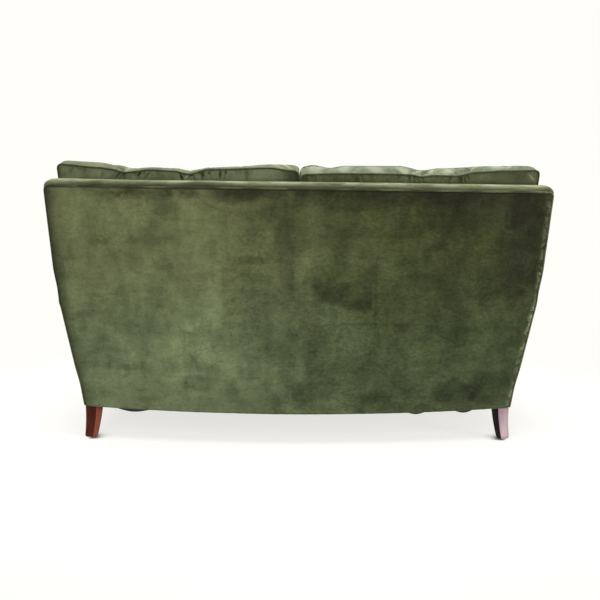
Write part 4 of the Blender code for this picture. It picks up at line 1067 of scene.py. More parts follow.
def arm_facing(word, side):
    """The padded board that closes the front of an arm, with piping round it."""
    heights = spread(SIDE_HEM, ROLL_CENTRE_Z, 40)
    turns = spread(0.0, FACING_APEX, 22)[1:]
    heights += [ROLL_CENTRE_Z + (ROLL_RADIUS - CORD_INSET) * math.sin(turn) for turn in turns]
    board = FRAME_FRONT - FACING_GAP
    front, rear = [], []
    for share in spread(0.0, 1.0, 30):
        across = 0.5 - 0.5 * math.cos(math.pi * share)
        front.append([])
        rear.append([])
        for z in heights:
            left, right = facing_bounds(z)
            x = left + (right - left) * across
            reach = math.hypot(x - ROLL_CENTRE_X, z - ROLL_CENTRE_Z)
            gap = ROLL_RADIUS - reach if z > ROLL_CENTRE_Z else min(x - left, right - x)
            gap = max(0.0, min(gap, z - SIDE_HEM + 0.004))
            rounded = math.sqrt(1 - (1 - min(1.0, gap / FACING_ROUND)) ** 2)
            depth = FACING_DEPTH * (0.35 + 0.65 * rounded) + 0.003 * smooth(gap / 0.05) - 0.003
            depth += 0.0012 * uneven((x, 0, z), 0.05, 9.0) * min(1.0, gap / 0.02)
            front[-1].append(Vector((side * (x + ARM_SPLAY), board - depth, z)))
            rear[-1].append(Vector((side * (x + ARM_SPLAY), board, z)))
    name = "arm_facing_cover_" + word
    made, _ = boxed(name, front, rear, 2, lambda *_: 0.0, cover_velvet)
    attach(made, "sofa")
    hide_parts("arm_facing_" + word)
    path = [(side * (x + ARM_SPLAY), board - CORD_DEPTH, z) for x, z in facing_edge_points(CORD_INSET)]
    piping("facing_piping_" + word, path, FACING_PIPING, welt_velvet, closed=False)


for word, side in BOTH.items():
    outside_arm(word, side)
    arm_facing(word, side)

border_columns = []
for share in spread(-1.0, 1.0, 140):
    column = []
    for way in spread(0.0, 1.0, 26):
        low = SIDE_HEM - 0.004 * (1 - share * share)
        z = low + (PLATFORM_TOP - EDGE_ROUND - low) * way
        x = share * (arm_inner_x(z) + ARM_SPLAY - PAD_CLEARANCE)
        free = min(1.0, way * 10, (1 - way) * 10)
        off = 0.0012 * uneven((x, 0, z), 0.09, 1.0) + 0.0008 * uneven((x, 0, z * 0.4), 0.03)
        column.append(Vector((x, FRAME_FRONT - FACING_GAP - BORDER_DEPTH - off * free, z)))
    border_columns.append(hem_points(column[0], Vector((0, 1, 0)))[:-1] + column)
front_border = skin(
    "front_border_cover", border_columns, cover_velvet, (0, 0, 0.2), PANEL_THICKNESS
)
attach(front_border, "sofa")
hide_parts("front_border")

# Outside back
# One seamless velvet panel, slip-stitched under the welt and tacked beneath the rear
# rail, where it hangs a little fuller in the middle. It is creased and much handled.

PANEL_COLUMNS, PANEL_ROWS = 300, 150
MIDDLE_SAG = 0.0050
WELT_TUCK = 0.0025
TOP_GAP = 0.0033
SIDE_GAP = 0.006
PANEL_SINK = 0.0004
# Creases: from x, z to x, z, how deep and how wide
CREASES = (
    (-0.243, 0.660, -0.268, 0.320, 0.0022, 0.006), (0.640, 0.510, 0.300, 0.480, 0.0007, 0.012),
    (0.560, 0.225, 0.360, 0.232, 0.0009, 0.010), (0.240, 0.310, 0.130, 0.307, 0.0007, 0.008),
    (0.500, 0.770, 0.200, 0.755, 0.0008, 0.012), (-0.140, 0.710, -0.480, 0.725, 0.0008, 0.014),
    (-0.420, 0.630, -0.380, 0.710, 0.0009, 0.010), (-0.520, 0.370, -0.640, 0.340, 0.0008, 0.010),
    (-0.480, 0.480, -0.600, 0.440, 0.0009, 0.009), (0.330, 0.700, 0.300, 0.682, 0.0010, 0.007),
    (0.120, 0.650, -0.020, 0.610, 0.0008, 0.013), (-0.114, 0.427, -0.434, 0.418, 0.0018, 0.006),
    (-0.430, 0.405, -0.560, 0.340, 0.0016, 0.007), (0.420, 0.650, 0.350, 0.570, 0.0012, 0.008),
)


def crease_depth(x, z):
    """How far the creases press the panel in."""
    total = 0.0
    for x1, z1, x2, z2, deep, wide in CREASES:
        along = ((x - x1) * (x2 - x1) + (z - z1) * (z2 - z1)) / ((x2 - x1) ** 2 + (z2 - z1) ** 2)
        clamped = min(1.0, max(0.0, along))
        waver = 0.006 * uneven((x, 0, z), 0.06, 2.0)
        off = math.hypot(x - x1 - clamped * (x2 - x1), z - z1 - clamped * (z2 - z1)) + waver
        fade = math.sin(math.pi * clamped) ** 0.5
        total += deep * fade * (hump(off, wide) - 0.5 * hump(off - wide, wide))
    return total


panel_columns = []
for share in [math.copysign(1 - (1 - abs(s)) ** 1.15, s) for s in spread(-1.0, 1.0, PANEL_COLUMNS)]:
    column = []
    low = COVER_BOTTOM - HEM_DROP - MIDDLE_SAG * (1 - share * share)
    panel_top = WELT_HEIGHT - TOP_GAP + WELT_TILT * share * half_width(WELT_HEIGHT)
    for way in spread(0.0, 1.0, PANEL_ROWS):
        z = low + (panel_top - low) * way
        half = half_width(z) - SIDE_GAP
        x = share * half
        side_gap, top_gap, low_gap = half - abs(x), panel_top - z, z - low
        off = 0.0018 * uneven((x, 0, z), 0.17, 3.0) + 0.0007 * uneven((x, 0, z), 0.05, 1.0)
        off -= crease_depth(x, z)
        off += 0.0011 * math.sin(x / 0.0062 + 3 * uneven((x, 0, 0), 0.1)) * math.exp(-low_gap / 0.016) * 0.6
        off += 0.0008 * math.sin(z / 0.006 + 2 * uneven((0, 0, z), 0.08)) * math.exp(-side_gap / 0.022)
        off += 0.0006 * math.sin(x / 0.007 + 2 * uneven((x, 0, 1), 0.08)) * math.exp(-top_gap / 0.018)
        off *= min(1.0, side_gap / 0.01, top_gap / 0.01)
        tuck = WELT_TUCK * max(hump(side_gap, 0.012), hump(top_gap, 0.010))
        column.append(Vector((x, outer_y(x, max(z, COVER_BOTTOM)) + off - tuck - PANEL_SINK, z)))
    panel_columns.append(hem_points(column[0], Vector((0, -1, 0)))[:-1] + column)

# Brushed marks in the pile: x, z, half width, half height, and how dark, or light below 0
MARKS = (
    (0.046, 0.640, 0.042, 0.190, 0.42), (0.046, 0.330, 0.036, 0.180, 0.22),
    (0.165, 0.640, 0.070, 0.018, 0.35), (0.200, 0.850, 0.095, 0.030, 0.50),
    (0.545, 0.850, 0.150, 0.018, 0.25), (-0.340, 0.855, 0.280, 0.050, 0.22),
    (-0.620, 0.830, 0.280, 0.130, 0.38), (-0.510, 0.765, 0.110, 0.090, 0.22),
    (-0.775, 0.670, 0.110, 0.220, 0.60), (-0.100, 0.635, 0.110, 0.100, -0.48),
    (0.250, 0.370, 0.150, 0.130, -0.42), (-0.175, 0.390, 0.150, 0.170, -0.68),
    (-0.715, 0.560, 0.070, 0.080, 0.25), (-0.660, 0.190, 0.110, 0.075, 0.50),
    (-0.540, 0.180, 0.095, 0.050, 0.60), (-0.535, 0.400, 0.070, 0.200, 0.24),
    (-0.020, 0.185, 0.075, 0.050, 0.35), (-0.245, 0.165, 0.055, 0.030, 0.45),
    (0.265, 0.280, 0.110, 0.085, -0.42), (0.180, 0.640, 0.050, 0.200, -0.10),
    (-0.430, 0.660, 0.060, 0.130, -0.14), (-0.640, 0.680, 0.040, 0.110, -0.12),
    (0.350, 0.215, 0.065, 0.035, 0.35), (0.386, 0.320, 0.085, 0.110, -0.60),
    (-0.260, 0.670, 0.110, 0.150, -0.42), (-0.430, 0.805, 0.080, 0.070, -0.50),
    (-0.385, 0.720, 0.060, 0.130, -0.24), (-0.575, 0.540, 0.060, 0.080, -0.34),
    (0.095, 0.250, 0.065, 0.110, -0.36), (0.095, 0.720, 0.055, 0.050, -0.28),
    (0.600, 0.330, 0.090, 0.070, -0.40), (-0.610, 0.400, 0.060, 0.120, -0.25),
    (0.225, 0.590, 0.090, 0.150, -0.30), (0.620, 0.760, 0.170, 0.120, -0.26),
    (-0.600, 0.620, 0.070, 0.090, -0.25), (0.590, 0.262, 0.100, 0.012, 0.24),
    (-0.275, 0.423, 0.190, 0.009, 0.20), (-0.256, 0.490, 0.008, 0.190, 0.20),
)

brushed_mark, given, result = effect(
    "brushed_mark", {"Mark": "Float"},
    Vector="Vector", Ragged="Float", Middle="Vector", Reach="Vector", Depth="Float",
)
away = vectors("DIVIDE", vectors("SUBTRACT", given["Vector"], given["Middle"]), given["Reach"])
away = plus(vectors("LENGTH", away), given["Ragged"])
join(times(stepped(away, 1.75, 1.15), given["Depth"]), result["Mark"])

# What the nap's colour is multiplied by: painted light on the left side and painted shade on the
# right, where the pile lies towards the light and away from it, top and bottom
PAINTED_LIGHT_TOP_LEFT = (1.21, 1.12, 1.06, 1.0)
PAINTED_LIGHT_LOW_LEFT = (1.39, 1.44, 1.53, 1.0)
PAINTED_SHADE_TOP_RIGHT = (0.345, 0.330, 0.190, 1.0)
PAINTED_SHADE_LOW_RIGHT = (0.480, 0.530, 0.460, 1.0)
MARK_AND_SHADE_DARK = (0.235, 0.210, 0.170, 1.0)
LAID_LIGHT = (1.55, 1.55, 1.60, 1.0)
EDGE_SHEEN_FLECKS = (0.380, 0.400, 0.240, 1.0)
WHITE = (1.0, 1.0, 1.0, 1.0)


def laid(colour, share, tint):
    """The colour tinted by that share: where the pile lies the other way, and where painted shade falls."""
    return tinted(colour, mixed(maths("MINIMUM", share, 0.97), WHITE, tint))


def shade_back(place, colour):
    """Painted light and shade, where the pile lies towards the light on the left and away from it on the
    right.
    """
    across, _, up = split(place)
    waver = times(clouds(stretched(place, (6.0, 1.0, 1.5)), 1.0, 4.0), 0.9)
    # Painted light on the left and painted shade on the right
    lay_to_light = stepped(plus(across, waver), 0.03, 0.93)
    height = stepped(plus(up, times(clouds(place, 5.0, 4.0), 0.3)), 0.31, 0.96)
    left = mixed(height, PAINTED_LIGHT_LOW_LEFT, PAINTED_LIGHT_TOP_LEFT)
    right = mixed(height, PAINTED_SHADE_LOW_RIGHT, PAINTED_SHADE_TOP_RIGHT)
    colour = tinted(colour, mixed(lay_to_light, right, left))
    # The grain of the pile stands out where it lies away from the light
    grain = clouds(stretched(place, (1.0, 1.0, 1.6)), 70.0, 5.0, 0.72)
    grain = times(stepped(grain, 0.30, 0.70, -1.0, 1.0), stepped(lay_to_light, 0.0, 1.0, 0.30, 0.12))
    colour = tinted(colour, plus(grain, 1.0))
    rough_edge = clouds(place, 17.0, 5.0, 0.62, 0.8)
    # Under the welt: a broad shadow on the right, and a close one that stops short on the left
    near = plus(up, times(rough_edge, 0.16))
    dark = times(stepped(near, 0.865, 0.945), stepped(lay_to_light, 0.0, 1.0, 0.38, 0.04))
    near = plus(up, times(rough_edge, 0.10))
    patchy = clouds(stretched(place, (9.0, 9.0, 14.0)), 1.0, 4.0)
    near = times(
        stepped(near, 0.878, 0.930), stepped(across, 0.74, 0.62),
        stepped(patchy, 0.38, 0.60, 0.45, 1.15), stepped(across, -0.35, 0.10, 0.30, 0.82),
    )
    dark, light = plus(dark, near), 0.0
    ragged = times(rough_edge, 1.3)
    for x, z, wide, tall, deep in MARKS:
        mark = use(
            brushed_mark, Vector=place, Ragged=ragged, Middle=(x, 0.4, z), Reach=(wide, 1.0, tall),
            Depth=abs(deep),
        )["Mark"]
        if deep > 0:
            dark = plus(dark, mark)
        else:
            light = plus(light, mark)
    # One deep mark has a rounded foot and ends at the upright crease
    off = stretched(vectors("SUBTRACT", place, (-0.2415, 0.4, 0.587)), (4.5, 0.0, 8.1))
    off = plus(vectors("LENGTH", off), times(rough_edge, 0.4))
    shadow = times(
        stepped(off, 1.26, 1.10), stepped(across, -0.248, -0.238), stepped(off, 0.50, 1.10, 0.20, 0.58),
        stepped(up, 0.640, 0.500, 0.1),
    )
    # Painted shade along the left side edge, where the panel turns away from the light
    above = maths("MULTIPLY_ADD", up, 0.084, 0.7892)
    below = maths("MULTIPLY_ADD", up, 0.208, 0.7249)
    side = minus(maths("ABSOLUTE", across), maths("MINIMUM", above, below))
    turned = times(stepped(side, -0.060, -0.002, 0.0, 0.62), lay_to_light)
    dark = plus(plus(dark, shadow), turned)
    # Brushed marks and painted shade darken the pile, and light marks lighten it
    colour = laid(laid(colour, dark, MARK_AND_SHADE_DARK), light, LAID_LIGHT)
    # A painted pale sheen in flecks along the right edge, where the panel turns towards the light
    flecks = stepped(clouds(place, 42.0, 5.0, 0.7, 1.0), 0.42, 0.62, 0.0, 0.80)
    sheen_breakup = stepped(clouds(place, 14.0, 3.0), 0.40, 0.62, 0.15, 1.0)
    sheen_breakup = times(sheen_breakup, stepped(up, 0.66, 0.46, 0.40))
    crushed = times(stepped(side, -0.028, -0.004), flecks, sheen_breakup, minus(1.0, lay_to_light))
    return mixed(crushed, colour, EDGE_SHEEN_FLECKS)


back_velvet = velvet("back_velvet", 0.13, 0.4, shade=shade_back)
outside_back = skin(
    "outside_back_panel", panel_columns, back_velvet, (0, 0, 0.5), PANEL_THICKNESS
)
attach(outside_back, "sofa")
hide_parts("outside_back_cover")

# Welt
# Velvet cord that edges the outside back, up one side, across under the top roll and
# down the other. The pile on it is crushed and pale.

WELT_RADIUS = 0.0025
WELT_CORNER = 0.015
WELT_PROUD = 0.0008
WELT_DARK = (0.010, 0.012, 0.005, 1.0)
WELT_PALE = (0.180, 0.205, 0.098, 1.0)


def shade_welt(place, colour):
    """Painted shade on the left side's welt, and the welt along the top darker in patches."""
    across, _, up = split(place)
    sunk = stepped(clouds(place, 7.0, 3.0), 0.36, 0.52, -0.25, 0.75)
    sunk = times(sunk, stepped(up, 0.84, 0.865))
    # Painted shade on the left side's welt, and darker patches along the top
    dark = maths("MAXIMUM", stepped(across, 0.700, 0.835, 0.0, 0.75), sunk)
    return mixed(dark, colour, WELT_DARK)


heights = spread(COVER_BOTTOM - HEM_DROP, WELT_HEIGHT - WELT_CORNER, 60)
welt_path = [(half_width(z) - WELT_RADIUS, z) for z in heights]
turn_x, turn_z = welt_path[-1][0] - WELT_CORNER, WELT_HEIGHT - WELT_CORNER
for angle in spread(0.0, math.pi / 2, 8)[1:]:
    welt_path.append((turn_x + WELT_CORNER * math.cos(angle), turn_z + WELT_CORNER * math.sin(angle)))
welt_path += [(x, WELT_HEIGHT) for x in spread(turn_x, 0.0, 60)[1:]]
welt_path += [(-x, z) for x, z in welt_path[-2::-1]]
welt_path = [(x, z + WELT_TILT * x * smooth((z - 0.8) / 0.05)) for x, z in welt_path]
welt_path = [(x, outer_y(x, z) - WELT_RADIUS + WELT_PROUD, z) for x, z in welt_path]
crushed_velvet = velvet("crushed_velvet", 0.05, 5.2, VELVET_DARK, WELT_PALE, shade_welt)
welt = piping("back_welt_cord", welt_path, WELT_RADIUS, crushed_velvet, closed=False)
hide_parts("back_welt")

# Seat cushions
# Two boxed cushions of feather and foam, piped top and bottom, which lie on the platform.
# They have a crown where the filling stands and pull in a little along their sides.

SEAT_BOTTOM = 0.3105
SEAT_BORDER = 0.1378
SEAT_CROWN = 0.028
SEAT_RADIUS = 0.030
SEAT_FRONT = -0.4625
SEAT_DRAW_IN = 0.006
CUSHION_PARTING = 0.0012
CLOTH_CELL = 0.011
CLOTH_FRAMES = 22
CUSHION_PIPING = 0.0030
EASE_REACH = 0.05
CREASE_SPACING = 0.026
CREASE_SHARPNESS = 0.20
CREASE_REACH = 0.16
PINCH_REACH = 0.12
PINCH_WIDTH = 0.045
SEAT_SIDE_GAP = 0.0035
SEAT_REAR_GAP = 0.0030


def bulge(share):
    """0 at both ends of a cushion and near 1 over most of its middle."""
    return 1 - (2 * share - 1) ** 4


def settle_cloth(piece, seams, eased, pressure, reach, hold):
    """Lets the cover fill out with its seams held, then keeps each point near its start.

    eased is how much longer the cloth is than its seams. hold(point, normal) gives how
    far a point may move out along its normal. No point moves further than reach."""
    mesh = piece.data
    start = [v.co.copy() for v in mesh.vertices]
    normals = [v.normal.copy() for v in mesh.vertices]
    pinned = piece.vertex_groups.new(name="seams")
    pinned.add(sorted(set(seams[0]) | set(seams[1])), 1.0, "REPLACE")
    tree = kdtree.KDTree(len(seams[0]) + len(seams[1]))
    for index in seams[0] + seams[1]:
        tree.insert(start[index], index)
    tree.balance()
    near = piece.vertex_groups.new(name="near_seams")
    for index, point in enumerate(start):
        distance = tree.find(point)[2]
        near.add([index], math.exp(-distance / EASE_REACH), "REPLACE")
    cloth = piece.modifiers.new("cover", "CLOTH")
    settings = cloth.settings
    settings.quality = 6
    settings.mass = 0.25
    settings.tension_stiffness = 18
    settings.compression_stiffness = 12
    settings.shear_stiffness = 4
    settings.bending_stiffness = 0.35
    settings.air_damping = 4
    settings.vertex_group_mass = "seams"
    settings.pin_stiffness = 1.0
    settings.vertex_group_shrink = "near_seams"
    settings.shrink_min = -0.004
    settings.shrink_max = -eased
    settings.use_pressure = True
    settings.uniform_pressure_force = pressure
    settings.effector_weights.gravity = 0.0
    cloth.collision_settings.use_collision = False
    cloth.collision_settings.use_self_collision = False
    scene = bpy.context.scene
    cloth.point_cache.frame_start = 1
    cloth.point_cache.frame_end = CLOTH_FRAMES
    for moment in range(1, CLOTH_FRAMES + 1):
        scene.frame_set(moment)
    settled = piece.evaluated_get(bpy.context.evaluated_depsgraph_get()).data
    moved = [v.co.copy() for v in settled.vertices]
    piece.modifiers.remove(cloth)
    scene.frame_set(1)
    for index, vertex in enumerate(mesh.vertices):
        step = moved[index] - start[index]
        if step.length > reach:
            step *= reach / step.length
        out = step.dot(normals[index])
        most = hold(start[index], normals[index])
        if out > most:
            step -= normals[index] * (out - most)
        if abs(normals[index].x) > 0.8 and out < 0.0:
            step -= normals[index] * out
        vertex.co = start[index] + step
    mesh.update()


def refine(piece):
    """Makes the cover's mesh twice as fine and smooth."""
    finer = piece.modifiers.new("finer", "SUBSURF")
    finer.levels = finer.render_levels = 1
    settled = piece.evaluated_get(bpy.context.evaluated_depsgraph_get())
    coarse = piece.data
    piece.data = bpy.data.meshes.new_from_object(settled)
    piece.modifiers.remove(finer)
    piece.data.name = coarse.name
    bpy.data.meshes.remove(coarse)


def pucker(piece, lines, pinches, height, seed):
    """Creases that run out from the seams, and fan out from each pinch.

    pinches are points near the seams, each (x, y, z, strength)."""
    tree = kdtree.KDTree(sum(len(line) for line in lines))
    spots = []
    for line in lines:
        travelled = 0.0
        for k, point in enumerate(line):
            spots.append((line, k, travelled))
            tree.insert(point, len(spots) - 1)
            travelled += (line[(k + 1) % len(line)] - point).length
    tree.balance()

    def along_seam(point):
        """Distance from the nearest seam, the way along that seam, and the place on it."""
        line, k, travelled = spots[tree.find(point)[1]]
        best = None
        for start, end, base in (
            (line[k - 1], line[k], travelled - (line[k] - line[k - 1]).length),
            (line[k], line[(k + 1) % len(line)], travelled),
        ):
            way = end - start
            share = min(1.0, max(0.0, (point - start).dot(way) / max(way.length_squared, 1e-12)))
            foot = start + way * share
            found = ((point - foot).length, base + share * way.length, foot)
            best = found if best is None or found[0] < best[0] else best
        return best

    pulls = [(along_seam(Vector(pinch[:3]))[1:], pinch[3]) for pinch in pinches]
    mesh = piece.data
    normals = [v.normal.copy() for v in mesh.vertices]
    for vertex, normal in zip(mesh.vertices, normals):
        away, way, foot = along_seam(vertex.co)
        if away > CREASE_REACH:
            continue
        strength, near = 0.30, 0.0
        for (at, spot), strong in pulls:
            if (foot - spot).length < PINCH_REACH:
                pull = math.exp(-((foot - spot).length / PINCH_WIDTH) ** 2)
                way -= pull * (way - at) * away / (away + 0.035)
                strength += strong * pull
                near = max(near, pull * strong)
        reach = 0.018 + 0.032 * min(1.0, near)
        lump = uneven((way, away * 0.12, 0), CREASE_SPACING, seed)
        fold = 0.35 * lump - max(0.0, 1 - abs(lump) / CREASE_SHARPNESS) ** 1.5
        beside = 0.15 if abs(normal.x) > 0.7 else 1.0
        depth = beside * height * strength * fold * math.exp(-away / reach) * smooth(away / 0.005)
        vertex.co += normal * depth
    mesh.update()


def seat_place(u, v, top, side):
    """A point of a seat cushion's top or bottom panel."""
    inner = CUSHION_PARTING / 2 + CUSHION_PIPING
    width = arm_inner_x(PLATFORM_LEVEL) - SEAT_SIDE_GAP - CUSHION_PIPING - inner
    length = inner_y(0.0, PLATFORM_LEVEL) - SEAT_REAR_GAP - CUSHION_PIPING - SEAT_FRONT
    x = inner + width * u
    y = SEAT_FRONT + (length - bow(x)) * v
    in_x, in_y = corner_cut(u, v, width, length, SEAT_RADIUS)
    x += in_x if 2 * u < 1 else -in_x
    y += in_y if 2 * v < 1 else -in_y
    x += u * splay(y)
    x += SEAT_DRAW_IN * 4 * v * (1 - v) * ((1 - u) ** 8 - u ** 8)
    y += SEAT_DRAW_IN * 4 * u * (1 - u) * (1 - v) ** 8
    if not top:
        return Vector((side * x, y, SEAT_BOTTOM))
    z = SEAT_BOTTOM + SEAT_BORDER + SEAT_CROWN * bulge(u) * bulge(v)
    z -= 0.006 * hump(math.hypot((u - 0.5) * 1.2, v - 0.45), 0.42)
    return Vector((side * x, y, z))


def seat_swell(place, outward, share):
    """How far a seat cushion's border stands out, more at the front."""
    free = 0.0045 if outward.y < -0.5 else 0.0025
    return free * math.sin(math.pi * share)


def seat_hold(point, normal):
    """The cushion's free faces may fill out, and those that touch something may not."""
    if normal.z < -0.5:
        return 0.0
    if normal.z > 0.5:
        return 0.001 if point.y > 0.06 else 0.008
    return 0.006 if normal.y < -0.5 else 0.0002


def seat_cushion(word, side):
    us = spread(0.0, 1.0, round(0.64 / CLOTH_CELL))
    vs = spread(0.0, 1.0, round(0.75 / CLOTH_CELL))
    top = [[seat_place(u, v, True, side) for v in vs] for u in us]
    bottom = [[seat_place(u, v, False, side) for v in vs] for u in us]
    finish = velvet("seat_velvet_" + word, 0.12, 11.0 + side)
    made, seams = boxed("seat_cushion_cover_" + word, top, bottom, 12, seat_swell, finish)
    lines = [[made.data.vertices[k].co.copy() for k in seam] for seam in seams]
    settle_cloth(made, seams, 0.045, 3.0, 0.014, seat_hold)
    refine(made)
    corners = [(side * x, y, 0.448, 0.8) for x in (0.02, 0.66) for y in (-0.45, 0.27)]
    pucker(made, lines, corners, 0.0026, 31.0 + side)
    body = "seat_cushion_" + word
    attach(made, body)
    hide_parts(body)
    for label, line, lift in (("top", lines[0], 0.0005), ("bottom", lines[1], 0.0022)):
        raised = [point + Vector((0, 0, lift)) for point in line]
        piping(f"seat_piping_{label}_{word}", raised, CUSHION_PIPING, welt_velvet, True, body)


for word, side in BOTH.items():
    seat_cushion(word, side)

# Back cushions
# Two boxed feather cushions that lean on the inside back and reach out over the arms.
# Their seams dip where the filling has slipped, and the cloth puckers round each dip.

BACK_TOP = 0.940
BACK_TOP_RISE = 0.018
BACK_CLEARANCE = 0.0048
BACK_THICKNESS = 0.150
BACK_CROWN = 0.034
BACK_RADIUS = 0.015
EAR_FOOT = 0.5835
EAR_INSET = 0.0425
EAR_SLUMP = {"left": 0.0055, "right": 0.0020}
BODY_EDGE = 0.6720
CUSHION_FOOT = 0.4550
CUSHION_FRONT_FOOT = 0.4755
FINE_TOP = 0.090
# Where the top seams rise and dip: x, and the height above the plain cushion's
REAR_SEAM = {
    "left": (
        (0.000, -0.010), (0.024, -0.006), (0.100, 0.002), (0.299, -0.004), (0.374, -0.020),
        (0.420, -0.010), (0.502, -0.006), (0.589, -0.015), (0.640, -0.004), (0.676, 0.001), (0.818, 0.012),
    ),
    "right": (
        (0.000, -0.018), (0.149, -0.014), (0.300, -0.014), (0.368, -0.016), (0.409, -0.022),
        (0.450, -0.017), (0.523, -0.018), (0.610, -0.004), (0.700, 0.001), (0.818, 0.004),
    ),
}
FRONT_SEAM = {
    "left": (
        (0.000, -0.006), (0.030, -0.003), (0.120, -0.008), (0.190, -0.018), (0.348, -0.026),
        (0.383, -0.029), (0.430, -0.024), (0.573, -0.022), (0.634, -0.010), (0.707, 0.001), (0.850, 0.006),
    ),
    "right": (
        (0.000, -0.010), (0.046, -0.003), (0.105, -0.012), (0.158, -0.004), (0.351, -0.003),
        (0.430, -0.017), (0.495, -0.009), (0.679, 0.000), (0.773, 0.002), (0.850, -0.002),
    ),
}
# Where the cloth is pinched at the seams: x, whether at the front, and how strongly
PINCHES = {
    "left": ((0.374, False, 1.6), (0.589, False, 1.3), (0.300, False, 0.7), (0.240, False, 0.6),
             (0.500, False, 0.7), (0.383, True, 1.2), (0.600, True, 1.4), (0.150, True, 0.6),
             (0.008, False, 1.0), (0.008, True, 1.0), (0.780, True, 0.8)),
    "right": ((0.368, False, 1.5), (0.409, True, 1.4), (0.523, False, 1.5), (0.560, True, 1.1),
              (0.105, True, 1.2), (0.200, False, 0.6), (0.008, False, 1.0), (0.008, True, 1.0),
              (0.690, True, 1.2), (0.790, True, 0.9)),
}


def along(points, x):
    """The height at x on a soft line through points."""
    for (x1, h1), (x2, h2) in zip(points, points[1:]):
        if x <= x2:
            return h1 + (h2 - h1) * smooth((x - x1) / (x2 - x1))
    return points[-1][1]


def back_fullness(x, z, outer, low):
    """How far the cushion's front has swelled: 0 on its seams, near 1 in its middle."""
    across = min(x - CUSHION_PARTING / 2, outer - x) / (outer / 2)
    up = min(z - low, BACK_TOP - z) / ((BACK_TOP - 0.4483) / 2)
    across, up = min(1.0, max(0.0, across)), min(1.0, max(0.0, up))
    return (1 - (1 - across) ** 3) * (1 - (1 - up) ** 3)


def back_place(x_key, height, front, word, side):
    """A point of a back cushion's panel. x_key runs over its body and then its ear."""
    inner = CUSHION_PARTING / 2 + CUSHION_PIPING
    edge = half_width(max(height, EAR_FOOT)) - EAR_INSET - SIDE_FULLNESS / 2
    edge += EAR_SLUMP[word] * smooth((height - 0.80) / 0.08)
    if x_key <= 1:
        x, foot = inner + (BODY_EDGE - inner) * x_key, CUSHION_FOOT
    else:
        x, foot = BODY_EDGE + (edge - BODY_EDGE) * (x_key - 1), EAR_FOOT
    width, tall = edge - inner, BACK_TOP - CUSHION_FOOT
    u, v = (x - inner) / width, (height - CUSHION_FOOT) / tall
    in_x, in_z = corner_cut(u, max(v, 0.5), width, tall, BACK_RADIUS)
    x += in_x if 2 * u < 1 else -in_x
    z = height - in_z
    near_top = smooth((v - 0.55) / 0.45)
    if not front:
        z += along(REAR_SEAM[word], x) * near_top
        return Vector((side * x, inner_y(x, z) - BACK_CLEARANCE, z))
    swell = back_fullness(x, z, edge if height >= EAR_FOOT else BODY_EDGE, foot)
    y = inner_y(x, z) - BACK_CLEARANCE - (BACK_THICKNESS + BACK_CROWN * swell)
    z += (CUSHION_FRONT_FOOT - CUSHION_FOOT) * (1 - v) ** 8
    z += BACK_TOP_RISE * v ** 4 + along(FRONT_SEAM[word], x) * near_top
    return Vector((side * x, y, z))


# Folds of painted shade, with a painted glint where the depth is below 0. On the rear: x, z,
# half width, half height, lean and depth. Across the top: x, how far in front of the rear seam,
# half width, half length, lean and depth
REAR_FOLDS = {
    "left": (
        (0.6126, 0.9198, 0.0040, 0.0110, -0.93, 0.80), (0.5930, 0.9040, 0.0035, 0.0060, 0.0, 0.70),
        (0.5413, 0.9195, 0.0045, 0.0075, -0.79, 0.90), (0.5137, 0.9155, 0.0040, 0.0130, -0.87, 0.60),
        (0.7318, 0.9346, 0.0050, 0.0110, -0.28, 0.35), (0.7792, 0.9328, 0.0060, 0.0130, -0.52, 0.35),
        (0.3963, 0.9090, 0.0050, 0.0120, 0.35, 0.95), (0.3631, 0.9169, 0.0040, 0.0080, -1.09, 0.85),
        (0.3237, 0.9194, 0.0045, 0.0100, 0.0, 0.85), (0.3045, 0.9241, 0.0040, 0.0050, 0.0, 0.65),
        (0.2664, 0.9198, 0.0045, 0.0110, 0.0, 0.80), (0.2462, 0.9265, 0.0035, 0.0055, 0.0, 0.65),
        (0.1775, 0.9193, 0.0070, 0.0190, 0.06, 0.40), (0.6700, 0.9150, 0.0060, 0.0120, -0.3, 0.25),
        (0.3800, 0.9120, 0.0030, 0.0060, -0.8, -0.45), (0.4600, 0.9130, 0.0060, 0.0080, 0.0, 0.22),
    ),
    "right": (
        (-0.5464, 0.9086, 0.0045, 0.0130, 0.20, 0.55), (-0.5595, 0.9088, 0.0040, 0.0130, 0.18, 0.50),
        (-0.1896, 0.9076, 0.0100, 0.0110, 0.43, 0.55), (-0.1161, 0.9102, 0.0080, 0.0110, 0.0, 0.35),
        (-0.3959, 0.9096, 0.0045, 0.0080, 1.45, 0.50), (-0.7979, 0.9208, 0.0050, 0.0110, 0.96, -0.20),
        (-0.7500, 0.9150, 0.0160, 0.0160, 0.0, 0.30), (-0.2900, 0.9060, 0.0060, 0.0090, 0.2, 0.22),
    ),
}
